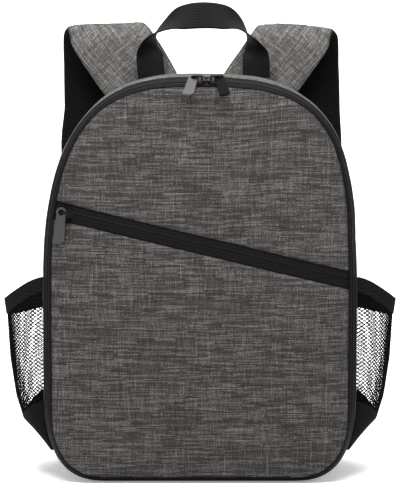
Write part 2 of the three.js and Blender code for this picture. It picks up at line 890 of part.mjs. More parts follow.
function pocketRim() {
  return pocketBand(rimBottom, levelAt("rimTop"), 1, POCKET.rimWall, -POCKET.rimProud);
}

function pocketNet() {
  const high = (turn) => rimBottom(turn) - GAP;
  return pocketBand(levelAt("netBottom"), high, NET_ROWS, POCKET.netWall);
}

function pocketBase() {
  const high = (turn) => levelAt("netBottom")(turn) - GAP;
  return pocketBand(levelAt("floor"), high, BASE_ROWS, POCKET.baseWall, -POCKET.baseProud);
}

// The assembly

const backpack = new THREE.Group();

function add(name, geometry, material, parent = backpack) {
  const mesh = new THREE.Mesh(geometry, material);
  mesh.name = name;
  parent.add(mesh);
  return mesh;
}

// A left-hand piece and its mirror image on the right.
function addPair(name, geometry, material, place = () => {}) {
  for (const [side, sign] of [
    ["left", 1],
    ["right", -1],
  ]) {
    const half = new THREE.Group();
    half.scale.x = sign;
    backpack.add(half);
    place(add(`${name}_${side}`, geometry, material, half));
  }
}

// A slider and its pull on a seat whose X runs along the zip and whose Z leaves the tape.
function addSlider(sliderName, pullName, seat, { foot, swivelDeg }) {
  const body = add(sliderName, slider(), GUNMETAL, seat);
  body.rotation.z = foot < 0 ? 0 : Math.PI;
  const tab = add(pullName, pull(), GUNMETAL, seat);
  tab.position.set(foot * BRIDGE.half, 0, SLIDER.thickness + PULL.lift);
  tab.rotation.z = radians(swivelDeg);
}

function mainZipSeat(x) {
  const seat = new THREE.Group();
  const tilt = radians(MAIN_SLIDER_TILT);
  seat.rotation.x = tilt;
  seat.position.set(
    x,
    frontY(TAPE_CREST.rise) - GAP * Math.sin(tilt),
    lerp(BODY.top, PANEL.top, TAPE_CREST.across) + GAP * Math.cos(tilt),
  );
  backpack.add(seat);
  return seat;
}

function pocketZipSeat() {
  const upright = new THREE.Group();
  const along = PANEL.halfWidth - POCKET_SLIDER.edgeInset;
  const rise = lookUp(FRONT_FACE, "scale", "rise", along / PANEL.halfWidth);
  const y = frontY(rise) + POCKET_ZIP.recess - POCKET_SLIDER.standOff;
  const { x, z } = pocketZipPoint(-along, 0);
  upright.rotation.x = Math.PI / 2;
  upright.position.set(x, y - GAP, z);
  const seat = new THREE.Group();
  seat.rotation.z = radians(-POCKET_ZIP.slopeDeg);
  upright.add(seat);
  backpack.add(upright);
  return seat;
}

add("gusset", gusset(), GREY_FABRIC);
add("base", base(), BLACK_FABRIC);
add("back_panel", backPanel(), BLACK_FABRIC);
add("main_zip_tape", mainZipTape(), ZIP_TAPE);
add("bottom_strip", bottomStrip(), BLACK_FABRIC);
add("front_panel_upper", frontPanelUpper(), GREY_FABRIC);
add("front_panel_lower", frontPanelLower(), GREY_FABRIC);
add("pocket_zip_tape", pocketZipTape(), ZIP_TAPE);
add("top_handle", topHandle(), WEBBING_FABRIC);

for (const row of MAIN_SLIDERS) {
  addSlider(`main_zip_slider_${row.side}`, `main_zip_pull_${row.side}`, mainZipSeat(row.x), row);
}
addSlider("pocket_zip_slider", "pocket_zip_pull", pocketZipSeat(), POCKET_SLIDER);

addPair("shoulder_strap", strapOuter(), GREY_FABRIC);
addPair("strap_lining", strapLining(), MESH_FABRIC);
addPair("strap_webbing", strapWebbing(), WEBBING_FABRIC);
addPair("strap_anchor_tab", anchorTab(), BLACK_FABRIC);
addPair("strap_adjuster", adjuster(), BLACK_PLASTIC, (mesh) => {
  mesh.position.copy(adjusterPlace());
});
addPair("side_pocket_net", pocketNet(), NET_FABRIC);
addPair("side_pocket_rim", pocketRim(), ELASTIC);
addPair("side_pocket_base", pocketBase(), BLACK_FABRIC);

export default backpack;
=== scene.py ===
"""The camera backpack's fabrics, webbing, nets, zips and metal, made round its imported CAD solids.

Lengths are in millimetres until a mesh is made; X is to the right of someone who looks at the
front, -Y is out of the front panel and Z is up.
"""

import math
import random

import bmesh
import bpy
import numpy as np
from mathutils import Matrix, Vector, noise


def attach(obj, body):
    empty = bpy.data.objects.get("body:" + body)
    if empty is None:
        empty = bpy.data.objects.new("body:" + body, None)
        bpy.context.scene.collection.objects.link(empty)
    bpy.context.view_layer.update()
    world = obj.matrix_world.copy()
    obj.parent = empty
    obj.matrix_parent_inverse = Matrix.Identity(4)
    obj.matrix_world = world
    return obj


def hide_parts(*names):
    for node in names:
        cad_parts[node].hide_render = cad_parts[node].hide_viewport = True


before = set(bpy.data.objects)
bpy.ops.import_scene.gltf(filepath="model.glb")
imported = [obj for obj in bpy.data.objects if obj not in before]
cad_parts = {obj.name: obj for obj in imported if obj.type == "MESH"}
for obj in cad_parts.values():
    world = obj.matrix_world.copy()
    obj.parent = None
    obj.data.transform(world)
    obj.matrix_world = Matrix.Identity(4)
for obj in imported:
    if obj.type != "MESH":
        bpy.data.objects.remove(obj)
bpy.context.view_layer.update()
MM = 0.001
SEED = 7

# Sizes that the CAD source also holds

GAP = 0.3
BODY = dict(half_width=150, top=389, bottom=0, spring=169, arch_power=2.8,
            corner_width=64, corner_height=101, corner_power=2.9)
PANEL = dict(half_width=141.5, top=380, bottom=6, spring=169, arch_power=3,
             corner_width=50, corner_height=60, corner_power=2.3)
HALF_DEPTH = 58
CENTRE_HEIGHT = 194.5
BASE_TURN = 20
FRONT_SEAM = -0.974 * HALF_DEPTH
FRONT_RISE = 18.5
BACK_PAD = 13.2
POCKET_ZIP = dict(z=230.5, slope=math.radians(13.5), half_width=8.2, recess=1.5)
HANDLE = dict(width=27, thickness=2.2, half_span=56.5, rise=58.5)
HANDLE_ROUTE = [
    (-0.858, -0.062, (-1, 0, -0.14)), (-0.894, 0.291, (-1, -0.15, 0)),
    (-0.885, 0.513, (-0.6, -0.8, 0)), (-0.785, 0.69, (-0.12, -1, -0.1)),
    (-0.57, 0.845, (0, -0.87, -0.46)), (-0.32, 0.955, (0, -0.45, -0.89)),
    (0.018, 1, (0, -0.2, -0.98)), (0.425, 0.966, (0, -0.4, -0.92)),
    (0.69, 0.846, (0, -0.85, -0.5)), (0.85, 0.667, (0.12, -1, -0.1)),
    (0.938, 0.479, (0.6, -0.8, 0)), (0.991, 0.274, (1, -0.15, 0)), (1, -0.068, (1, 0, -0.17)),
]
STRAP = dict(width=75, spread=103, reach=37.65, seat=1.35, outer=5.5, lining=4, gap=0.5)
STRAP_ROUTE = [
    (-0.456, 0, 0.915, (0.82, 0, 0.57), 0.96), (-0.573, 0.07, 0.969, (0.85, 0, 0.53), 0.973),
    (-0.752, 0.19, 1.039, (0.94, 0, 0.34), 0.987), (-0.893, 0.349, 1.09, (0.985, 0, 0.17), 1),
    (-0.956, 0.628, 1.109, (0.995, 0, 0.1), 1), (-0.99, 0.907, 1.087, (1, 0, 0.05), 1),
    (-1, 1, 1.018, (1, 0, 0), 0.973), (-1, 0.987, 0.848, (1, 0, 0), 0.96),
    (-1.01, 0.827, 0.668, (1, 0, 0), 0.92), (-1.049, 0.721, 0.514, (1, 0, 0.05), 0.8),
    (-1.107, 0.615, 0.396, (1, 0, 0.1), 0.56),
]
TAB = dict(width=36, thickness=2.4, seat=0.6, lean=1.3)
TAB_ROUTE = [
    (-0.887, 0, 0.376, (0.75, 0, -0.66), 1), (-0.867, 0.54, 0.495, (0.9, 0, -0.35), 0.861),
    (-0.84, 1, 0.634, (1, 0, 0.1), 0.75),
]
ADJUSTER = dict(drop=16.2, height=26, thickness=4)
WEBBING = dict(width=25, thickness=1.6, side=3, clearance=0.6)
WEBBING_CLIMB = [(0, 0, 0), (0.09, 0.048, 0.162), (0.455, 0.423, 0.459), (0.91, 0.904, 0.838)]
WEBBING_TURN = [
    (-0.038, -1, -0.531), (-0.019, -1, -0.269), (0, -0.47, -0.138), (0, 0.47, -0.138),
    (-0.019, 1, -0.269), (-0.038, 1, -0.531), (-0.115, 0.18, -1.3),
]
POCKET = dict(top=197, bulge=46, half_depth=52, seat=1.2, power=1.55, rim_height=15,
              crown=2.6, tuck=2.4, tuck_turn=3)
POCKET_REACH = [(0.122, -0.13), (0.269, 0.535), (0.376, 0.678), (0.569, 0.804), (0.797, 0.87),
                (1.015, 1)]
POCKET_TURNS = [0, 45, 90, 135, 180]
RIM_TOP = [1.015, 0.925, 0.858, 0.85, 0.868]
NET_BOTTOM = [0.401, 0.335, 0.274, 0.325, 0.386]
FLOOR = [0.152, 0.137, 0.127, 0.137, 0.152]


# Outlines, wall places and routes

def super_point(angle, power):
    c, s = math.cos(angle), math.sin(angle)
    r = (abs(c) ** power + abs(s) ** power) ** (-1 / power)
    return c * r, s * r


def round_place(cx, cz, width, height, power, degrees):
    """A point of a superellipse with its outward normal, as (x, z, nx, nz)."""
    u, v = super_point(math.radians(degrees), power)
    nx = math.copysign(abs(u) ** (power - 1), u) / width
    nz = math.copysign(abs(v) ** (power - 1), v) / height
    size = math.hypot(nx, nz)
    return cx + width * u, cz + height * v, nx / size, nz / size


def corner_place(shape, degrees):
    return round_place(shape["half_width"] - shape["corner_width"],
                       shape["bottom"] + shape["corner_height"],
                       shape["corner_width"], shape["corner_height"],
                       shape["corner_power"], degrees)


def arch_place(shape, degrees):
    return round_place(0, shape["spring"], shape["half_width"],
                       shape["top"] - shape["spring"], shape["arch_power"], degrees)


def right_side(shape, first=BASE_TURN - 90, corner=26, side=12, arch=64):
    """The right half of the outline, from a turn of the bottom corner up to the top's middle."""
    low = shape["bottom"] + shape["corner_height"]
    rows = [corner_place(shape, a) for a in np.linspace(first, 0, corner + 1)]
    rows += [(shape["half_width"], z, 1, 0)
             for z in np.linspace(low, shape["spring"], side + 1)[1:-1]]
    rows += [arch_place(shape, a) for a in np.linspace(0, 90, arch + 1)]
    return np.array(rows)


def mirrored(rows):
    return rows[::-1] * [-1, 1, -1, 1]


def over_top(shape):
    half = right_side(shape)
    return np.vstack([half, mirrored(half)[1:]])


def under_base(shape, flat=16, corner=8):
    reach = shape["half_width"] - shape["corner_width"]
    rows = [(reach * t, shape["bottom"], 0, -1) for t in np.linspace(0, 1, flat + 1)]
    rows += [corner_place(shape, a) for a in np.linspace(-90, BASE_TURN - 90.4, corner + 1)[1:]]
    half = np.array(rows)
    return np.vstack([mirrored(half)[:-1], half])


def whole(shape):
    """The closed outline, from the middle of the flat bottom round to the right."""
    reach = shape["half_width"] - shape["corner_width"]
    flat = np.array([(reach * t, shape["bottom"], 0, -1) for t in np.linspace(0, 1, 12)])
    half = np.vstack([flat[:-1], right_side(shape, first=-90)])
    return np.vstack([half, mirrored(half)[1:-1]])


def along(points):
    """How far along a line of points each one lies."""
    steps = np.linalg.norm(np.diff(points, axis=0), axis=1)
    return np.concatenate([[0], np.cumsum(steps)])


def front_y(rise):
    return FRONT_SEAM - rise * FRONT_RISE


def back_y(rise):
    return HALF_DEPTH + GAP + rise * BACK_PAD


def outline_share(shape, x, z):
    """How far out a place lies, from 0 at the panel's middle to 1 on its outline."""
    edge = whole(shape)[:, :2] - [0, CENTRE_HEIGHT]
    angles = np.arctan2(edge[:, 1], edge[:, 0])
    order = np.argsort(angles)
    radii = np.hypot(edge[:, 0], edge[:, 1])
    angle = np.arctan2(z - CENTRE_HEIGHT, x)
    reach = np.interp(angle, angles[order], radii[order], period=2 * math.pi)
    return np.hypot(x, z - CENTRE_HEIGHT) / reach


def route_rows(rows, width):
    """Places, across directions and widths of table rows as arrays."""
    places = np.array([row[0] for row in rows], float)
    across = np.array([row[1] for row in rows], float)
    widths = np.array([row[2] if len(row) > 2 else width for row in rows], float)
    return places, across, widths


def spline(points, t):
    """The centripetal curve through points at t from 0 to 1."""
    last = len(points) - 1
    place = min(last * t, last - 1e-9)
    i = int(place)
    w = place - i
    p1, p2 = points[i], points[i + 1]
    p0 = points[i - 1] if i > 0 else 2 * points[0] - points[1]
    p3 = points[i + 2] if i + 2 <= last else 2 * points[last] - points[last - 1]
    d0, d1, d2 = (max(np.linalg.norm(b - a) ** 0.5, 1e-4)
                  for a, b in ((p0, p1), (p1, p2), (p2, p3)))
    t1 = ((p1 - p0) / d0 - (p2 - p0) / (d0 + d1) + (p2 - p1) / d1) * d1
    t2 = ((p2 - p1) / d1 - (p3 - p1) / (d1 + d2) + (p3 - p2) / d2) * d1
    return (p1 + t1 * w + (-3 * p1 + 3 * p2 - 2 * t1 - t2) * w ** 2
            + (2 * p1 - 2 * p2 + t1 + t2) * w ** 3)


def route_frames(rows, width, steps):
    """Frames along a route: place, across, outward, width and the length so far."""
    places, acrosses, widths = route_rows(rows, width)
    frames, length, before = [], 0.0, None
    for t in np.linspace(0, 1, steps + 1):
        place = spline(places, t)
        tangent = spline(places, min(t + 1e-3, 1)) - spline(places, max(t - 1e-3, 0))
        tangent /= np.linalg.norm(tangent)
        across = spline(acrosses, t)
        across = across - tangent * (across @ tangent)
        across /= np.linalg.norm(across)
        if before is not None:
            length += np.linalg.norm(place - before)
        before = place
        wide = np.interp(t * (len(rows) - 1), range(len(rows)), widths)
        frames.append((place, across, np.cross(across, tangent), wide, length))
    return frames


def strap_rows():
    seat = back_y(1) + STRAP["lining"] + STRAP["seat"]
    return [((x * STRAP["spread"], seat + out * STRAP["reach"], height * BODY["top"]), across,
             width * STRAP["width"]) for x, out, height, across, width in STRAP_ROUTE]


def tab_rows():
    seat = back_y(1) + TAB["seat"]
    return [((x * BODY["half_width"], seat + out * TAB["lean"], height * BODY["corner_height"]),
             across, width * TAB["width"]) for x, out, height, across, width in TAB_ROUTE]


def webbing_rows():
    foot = np.array(tab_rows()[1][0]) + [
        WEBBING["side"], (TAB["thickness"] + WEBBING["thickness"]) / 2 + GAP, 0]
    end = np.array(strap_rows()[-1][0]) - [0, 0, ADJUSTER["drop"]]
    turn = ADJUSTER["thickness"] / 2 + WEBBING["thickness"] / 2 + WEBBING["clearance"]
    through = [end + [side * ADJUSTER["height"], depth * turn, height * ADJUSTER["height"]]
               for side, depth, height in WEBBING_TURN]
    climb = [foot + (through[0] - foot) * share for share in WEBBING_CLIMB]
    return [(place, (1, 0, 0)) for place in climb + through]


def body_half_width(z):
    if z >= BODY["corner_height"]:
        return BODY["half_width"]
    v = (BODY["corner_height"] - z) / BODY["corner_height"]
    u = (1 - v ** BODY["corner_power"]) ** (1 / BODY["corner_power"])
    return BODY["half_width"] - BODY["corner_width"] * (1 - u)


def soft_table(keys, values, key):
    """A table's value, smoothed so that no kink shows at its rows."""
    width = 0.1 * (keys[-1] - keys[0])
    at = key + np.linspace(-1, 1, 9) * width
    return float(np.mean(np.interp(at, keys, values)))


def level(values, turn):
    return soft_table(POCKET_TURNS, values, turn) * POCKET["top"]


def pocket_place(turn, z, inset):
    """A point of the left pocket's wall, set in from its outer face."""
    u, v = super_point(math.radians(turn), POCKET["power"])
    side = body_half_width(z) + POCKET["seat"] + POCKET["crown"] * v
    keys, bulges = zip(*POCKET_REACH)
    bulge = np.interp(z / POCKET["top"], keys, bulges) * POCKET["bulge"]
    reach = max(BODY["half_width"] + bulge - side - inset, 0)
    tuck = POCKET["tuck"] * max(1 - min(turn, 180 - turn) / POCKET["tuck_turn"], 0)
    return np.array([-side - reach * v + tuck, -(POCKET["half_depth"] - inset) * u, z])


# The bag's fullness: what its soft parts do away from the even shape of the solids

SHOULDER = [(15, 0), (19, 1), (27, 3), (34, 4), (41, 5.5), (47, 6.5), (56, 5.5), (63, 3.5),
            (70, 1.5), (78, 0)]
SHOULDER_REACH = 170
STRAP_TOP = dict(
    left=[(-142, 0), (-118, 2.2), (-108, 3), (-98, 2.8), (-88, 1), (-84, 0), (-76, -2),
          (-68, -3), (-60, -2), (-55, 1.5), (-51, 3)],
    right=[(56, -4), (61, -5), (65, -5), (73, -4), (77, -2), (81, -1), (90, 1), (98, 2),
           (106, 2), (110, 1), (119, 0), (127, -1.5), (135, -1.5)])
STRAP_FLARE = dict(left=[(200, 0), (250, 2), (290, 4), (318, 4), (330, 3), (353, 0)],
                   right=[(200, 0), (250, 2), (290, 6), (315, 7), (330, 6), (353, 4.5),
                          (380, 3.5), (400, 2.5), (445, 1)])
STRAP_SETTLE = dict(fold_from=380, fold_over=35, flare_from=95, flare_over=10)


def fuller_shoulder(points):
    """The right shoulder stands a little fuller than the left."""
    x, z = points[:, 0], points[:, 2] - CENTRE_HEIGHT
    angle = np.degrees(np.arctan2(z, x))
    push = np.interp(angle, *zip(*SHOULDER))
    size = np.hypot(x, z)
    reach = np.clip(size / SHOULDER_REACH, 0, 1.1) ** 2
    points[:, 0] += push * reach * x / np.maximum(size, 1)
    points[:, 2] += push * reach * z / np.maximum(size, 1)
    return points


def settled_strap(points, side):
    """Each strap's fold lies nearly level, and its far run flares out towards its lower end."""
    out = -1 if side == "left" else 1
    at = STRAP_SETTLE
    lift = np.interp(points[:, 0], *zip(*STRAP_TOP[side]))
    points[:, 2] += lift * np.clip((points[:, 2] - at["fold_from"]) / at["fold_over"], 0, 1)
    flare = np.interp(points[:, 2], *zip(*STRAP_FLARE[side]))
    far = np.clip((points[:, 1] - at["flare_from"]) / at["flare_over"], 0, 1)
    points[:, 0] += out * flare * far
    return points


# Meshes

def ripple(place, size, seed=0.0):
    """Smooth noise from -1 to 1 whose waves are about size long."""
    return noise.noise(Vector(place) / size + Vector((seed, 3.7 * seed, -seed)))


def waves(place, rows):
    """Several ripples together, from rows of (size, seed, height)."""
    return sum(ripple(place, size, seed) * height for size, seed, height in rows)


def waves_on_grid(x, z, rows):
    return np.array([[waves((a, 0, b), rows) for a, b in zip(row_x, row_z)]
                     for row_x, row_z in zip(x, z)])


def add_piece(name, points, faces, material, cloth=None, replaces=(), settle=None):
    """A mesh from points in millimetres; cloth gives each one its place on the flat cloth."""
    points = np.array(points, float)
    if settle is not None:
        points = settle(points)
    mesh = bpy.data.meshes.new(name)
    mesh.from_pydata([tuple(p) for p in points * MM], [], faces)
    if cloth is not None:
        layer = mesh.attributes.new("cloth", "FLOAT_VECTOR", "POINT")
        flat_cloth = np.zeros((len(points), 3), np.float32)
        flat_cloth[:, :2] = np.asarray(cloth)[:, :2]
        layer.data.foreach_set("vector", flat_cloth.ravel())
    shape = bmesh.new()
    shape.from_mesh(mesh)
    bmesh.ops.recalc_face_normals(shape, faces=shape.faces)
    shape.to_mesh(mesh)
    shape.free()
    mesh.update()
    mesh.shade_smooth()
    piece = bpy.data.objects.new(name, mesh)
    bpy.context.scene.collection.objects.link(piece)
    mesh.materials.append(material)
    if replaces:
        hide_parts(*replaces)
    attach(piece, "bag")
    return piece


def grid_faces(rows, columns, loop=False, start=0):
    """Quads of a grid whose points run row by row; with loop each row closes on itself."""
    faces = []
    for i in range(rows - 1):
        for j in range(columns if loop else columns - 1):
            k = (j + 1) % columns
            faces.append((start + i * columns + j, start + i * columns + k,
                          start + (i + 1) * columns + k, start + (i + 1) * columns + j))
    return faces


def tube(sections):
    """Points and faces of a closed body through closed sections."""
    rows, columns = len(sections), len(sections[0])
    points = np.vstack(sections)
    faces = grid_faces(rows, columns, loop=True)
    faces.append(tuple(range(columns - 1, -1, -1)))
    faces.append(tuple(range((rows - 1) * columns, rows * columns)))
    return points, faces


def mirrored_points(points, side):
    return points * np.array([1 if side == "left" else -1, 1, 1])


def pad(front, back):
    """A closed pad from two grids with the same rows and columns, [row, column, xyz]."""
    rows, columns = front.shape[:2]
    points = np.vstack([front.reshape(-1, 3), back.reshape(-1, 3)])
    faces = grid_faces(rows, columns) + [f[::-1] for f in grid_faces(rows, columns,
                                                                    start=rows * columns)]
    rim = ([(0, j) for j in range(columns)] + [(i, columns - 1) for i in range(1, rows)]
           + [(rows - 1, j) for j in range(columns - 2, -1, -1)]
           + [(i, 0) for i in range(rows - 2, 0, -1)])
    ids = [i * columns + j for i, j in rim]
    below = rows * columns
    for a, b in zip(ids, ids[1:] + ids[:1]):
        faces.append((a, b, below + b, below + a))
    return points, faces


def patch(bottom, top, left, right):
    """The smooth grid between four edge lines; left and right run from bottom to top."""
    columns, rows = len(bottom), len(left)
    u = np.linspace(0, 1, columns)[None, :, None]
    v = np.linspace(0, 1, rows)[:, None, None]
    ruled = (1 - v) * bottom[None] + v * top[None] + (1 - u) * left[:, None] + u * right[:, None]
    corners = ((1 - u) * (1 - v) * bottom[0] + u * (1 - v) * bottom[-1]
               + (1 - u) * v * top[0] + u * v * top[-1])
    return ruled - corners


def eased(line, count, ease=0.55):
    """The line as count points that lie closer together near its ends."""
    at = along(line)
    t = np.linspace(0, 1, count)
    t = (1 - ease) * t + ease * (0.5 - 0.5 * np.cos(math.pi * t))
    return np.stack([np.interp(t * at[-1], at, column) for column in line.T], 1)


STITCH = dict(pitch=3.4, length=2.3, radius=0.24, sides=5)


def stitches(name, lines, material):
    """Rows of thread stitches along lines of (place, outward) pairs, as one piece."""
    points, faces = [], []
    pitch, length, sides = STITCH["pitch"], STITCH["length"], STITCH["sides"]
    ring = [(math.cos(a), math.sin(a)) for a in np.linspace(0, 2 * math.pi, sides + 1)[:-1]]
    for line in lines:
        places = np.array([p for p, _ in line], float)
        normals = np.array([n for _, n in line], float)
        at = along(places)
        for k in range(max(int(at[-1] / pitch), 1)):
            middle = (k + 0.5) * pitch
            cuts = [middle - length / 2, middle - length / 4, middle + length / 4,
                    middle + length / 2]
            row = [np.array([np.interp(c, at, col) for col in places.T]) for c in cuts]
            out = np.array([np.interp(middle, at, col) for col in normals.T])
            out /= np.linalg.norm(out)
            ahead = row[3] - row[0]
            size = np.linalg.norm(ahead)
            if size < 1e-6:
                continue
            side = np.cross(ahead / size, out)
            side /= np.linalg.norm(side)
            start = len(points)
            for centre, fat, lift in zip(row, (0.55, 1, 1, 0.55), (-0.7, 0.45, 0.45, -0.7)):
                for c, s in ring:
                    points.append(centre + (side * c + out * (s + lift))
                                  * STITCH["radius"] * fat)
            faces += grid_faces(4, sides, loop=True, start=start)
            faces.append(tuple(range(start + sides - 1, start - 1, -1)))
            faces.append(tuple(range(start + 3 * sides, start + 4 * sides)))
    add_piece(name, points, faces, material)


PUFF = dict(quality=6, mass=0.3, tension_stiffness=18, compression_stiffness=12,
            shear_stiffness=6, bending_stiffness=0.8)
PUFF_FRAMES = 20


def puffed(piece, pinned, pressure, cap):
    """Blow the piece's free cloth out against its pinned seams, by at most cap millimetres."""
    mesh = piece.data
    rest = np.zeros(len(mesh.vertices) * 3, np.float32)
    mesh.vertices.foreach_get("co", rest)
    seam = piece.vertex_groups.new(name="seam")
    seam.add([int(i) for i in np.flatnonzero(pinned)], 1.0, "REPLACE")
    cloth = piece.modifiers.new("cloth", "CLOTH")
    made = cloth.settings
    for key, value in PUFF.items():
        setattr(made, key, value)
    made.use_pressure = True
    made.uniform_pressure_force = pressure
    made.vertex_group_mass = "seam"
    made.effector_weights.gravity = 0
    cloth.point_cache.frame_start = 1
    cloth.point_cache.frame_end = PUFF_FRAMES
    for number in range(1, PUFF_FRAMES + 1):
        bpy.context.scene.frame_set(number)
    shaped = piece.evaluated_get(bpy.context.evaluated_depsgraph_get())
    moved = np.zeros(len(rest), np.float32)
    shaped.data.vertices.foreach_get("co", moved)
    shift = (moved - rest).reshape(-1, 3)
    size = np.linalg.norm(shift, axis=1)
    shift *= (np.tanh(size / (cap * MM)) * cap * MM / np.maximum(size, 1e-9))[:, None]
    piece.modifiers.remove(cloth)
    bpy.context.scene.frame_set(1)
    mesh.vertices.foreach_set("co", rest + shift.ravel())
    mesh.update()


# Materials

class Nodes:
    """A node tree with short calls to add nodes and join them."""

    def __init__(self, tree):
        self.tree = tree

    def add(self, kind, inputs=None, **settings):
        node = self.tree.nodes.new(kind)
        for key, value in settings.items():
            setattr(node, key, value)
        for key, value in (inputs or {}).items():
            self.feed(node.inputs[key], value)
        return node

    def feed(self, socket, value):
        if isinstance(value, bpy.types.NodeSocket):
            self.tree.links.new(value, socket)
        elif value is not None:
            socket.default_value = value

    def math(self, operation, a, b=0.5, clamp=False):
        node = self.add("ShaderNodeMath", {0: a, 1: b}, operation=operation, use_clamp=clamp)
        return node.outputs[0]

    def noise(self, vector, scale, detail=2.0, roughness=0.5):
        node = self.add("ShaderNodeTexNoise", {"Vector": vector, "Scale": scale,
                                               "Detail": detail, "Roughness": roughness})
        return node.outputs["Fac"]

    def scaled(self, vector, scale, turn=0.0, shift=(0, 0, 0)):
        node = self.add("ShaderNodeMapping", {"Vector": vector, "Scale": scale,
                                              "Rotation": (0, 0, turn), "Location": shift})
        return node.outputs[0]

    def between(self, value, low, high, to_low=0.0, to_high=1.0):
        node = self.add("ShaderNodeMapRange", {"Value": value, "From Min": low, "From Max": high,
                                               "To Min": to_low, "To Max": to_high})
        return node.outputs[0]

    def mix(self, share, a, b):
        node = self.add("ShaderNodeMix", {0: share}, data_type="RGBA")
        self.feed(node.inputs[6], a)
        self.feed(node.inputs[7], b)
        return node.outputs[2]

    def about_half(self, value, gain):
        """How far a value of 0 to 1 lies from its middle, times gain."""
        return self.math("MULTIPLY", self.math("SUBTRACT", value), gain)

    def tinted(self, colour, gain):
        node = self.add("ShaderNodeVectorMath", {0: colour, 3: gain}, operation="SCALE")
        return node.outputs[0]

    def crossed(self, cloth, scale, distortion, detail=2.0):
        """Two sets of threads at right angles, as one sum."""
        sets = [self.add("ShaderNodeTexWave", {"Vector": cloth, "Scale": scale,
                                               "Distortion": distortion, "Detail": detail},
                         bands_direction=way).outputs["Fac"] for way in "XY"]
        return self.math("ADD", *sets)


def new_group(name, inputs, outputs):
    group = bpy.data.node_groups.new(name, "ShaderNodeTree")
    for label, kind, value in inputs:
        socket = group.interface.new_socket(label, in_out="INPUT", socket_type=kind)
        if value is not None:
            socket.default_value = value
    for label, kind in outputs:
        group.interface.new_socket(label, in_out="OUTPUT", socket_type=kind)
    nodes = Nodes(group)
    entry = nodes.add("NodeGroupInput")
    out = nodes.add("NodeGroupOutput")
    return group, nodes, entry.outputs, out.inputs


def placed(nodes, group, inputs):
    node = nodes.add("ShaderNodeGroup", node_tree=group)
    for key, value in inputs.items():
        nodes.feed(node.inputs[key], value)
    return node.outputs


FLOAT, COLOUR, VECTOR = "NodeSocketFloat", "NodeSocketColor", "NodeSocketVector"


def thread_tones_group():
    """A tone for each thread that runs along X, new after every few millimetres of its run."""
    group, n, given, out = new_group(
        "thread tones", [("Cloth", VECTOR, None), ("Threads", FLOAT, 0.9), ("Runs", FLOAT, 0.055)],
        [("Tone", FLOAT)])
    split = n.add("ShaderNodeSeparateXYZ", {0: given["Cloth"]}).outputs
    wander = n.math("MULTIPLY", n.noise(n.scaled(given["Cloth"], (0.02, 0.05, 1)), 1.0), 2.0)
    thread = n.math("FLOOR", n.math("ADD", n.math("MULTIPLY", split["Y"], given["Threads"]),
                                    wander))
    start = n.add("ShaderNodeTexWhiteNoise", {"W": thread}, noise_dimensions="1D").outputs[0]
    run = n.math("ADD", n.math("MULTIPLY", split["X"], given["Runs"]),
                 n.math("MULTIPLY", start, 9.0))
    spot = n.add("ShaderNodeCombineXYZ", {0: n.math("FLOOR", run), 1: thread}).outputs[0]
    tone = n.add("ShaderNodeTexWhiteNoise", {"Vector": spot}, noise_dimensions="2D").outputs[0]
    n.feed(out["Tone"], tone)
    return group


THREAD_TONES = thread_tones_group()


def slub_cloth_group():
    """Linen-look cloth: uneven threads both ways, some of them lighter for part of their run."""
    group, n, given, out = new_group(
        "slub cloth",
        [("Cloth", VECTOR, None), ("Dark", COLOUR, (0.02, 0.02, 0.02, 1)),
         ("Middle", COLOUR, (0.07, 0.07, 0.07, 1)), ("Light", COLOUR, (0.2, 0.2, 0.2, 1)),
         ("Weft", FLOAT, 1.0), ("Warp", FLOAT, 1.0), ("Slub", FLOAT, 1.0)],
        [("Colour", COLOUR), ("Height", FLOAT)])
    cloth = given["Cloth"]
    weft = n.noise(n.scaled(cloth, (0.09, 1.5, 1)), 1.0, 1.0, 0.5)
    warp = n.noise(n.scaled(cloth, (1.5, 0.14, 1), shift=(31, 7, 0)), 1.0, 1.0, 0.5)
    fine = n.noise(n.scaled(cloth, (0.85, 1.1, 1), shift=(5, 60, 0)), 1.0, 1.0)
    long_weft = n.noise(n.scaled(cloth, (0.016, 0.75, 1), shift=(0, 90, 0)), 1.0, 1.0, 0.6)
    long_warp = n.noise(n.scaled(cloth, (0.75, 0.018, 1), shift=(44, 0, 0)), 1.0, 1.0, 0.6)
    drift = n.noise(n.scaled(cloth, (0.02, 0.02, 1)), 1.0, 2.0)
    along_weft = placed(n, THREAD_TONES, {"Cloth": cloth})["Tone"]
    turned = n.scaled(cloth, (1, 1, 1), math.radians(90))
    along_warp = placed(n, THREAD_TONES, {"Cloth": turned, "Runs": 0.09})["Tone"]
    weft = n.math("ADD", n.math("MULTIPLY", weft, 0.35), n.math("MULTIPLY", along_weft, 0.26))
    warp = n.math("ADD", n.math("MULTIPLY", warp, 0.4), n.math("MULTIPLY", along_warp, 0.22))
    tone = n.math("ADD", n.math("MULTIPLY", n.math("SUBTRACT", weft, 0.31), given["Weft"]),
                  n.math("MULTIPLY", n.math("SUBTRACT", warp, 0.31), given["Warp"]))
    tone = n.math("ADD", tone, n.about_half(fine, 0.75))
    tone = n.math("ADD", tone, n.about_half(drift, 0.06))
    streak = n.math("ADD", n.between(long_weft, 0.6, 0.74), n.between(long_warp, 0.61, 0.75))
    streak = n.math("MULTIPLY", streak, given["Slub"])
    share = n.math("ADD", n.math("ADD", n.math("MULTIPLY", tone, 1.45), 0.5),
                   n.math("MULTIPLY", streak, 0.24), clamp=True)
    dark = n.mix(n.between(share, 0.0, 0.5), given["Dark"], given["Middle"])
    n.feed(out["Colour"], n.mix(n.between(share, 0.5, 1.0), dark, given["Light"]))
    threads = n.math("MULTIPLY", n.crossed(cloth, 0.42, 1.2, detail=1.0), 0.3)
    n.feed(out["Height"], n.math("ADD", threads, n.math("MULTIPLY", share, 0.9)))
    return group


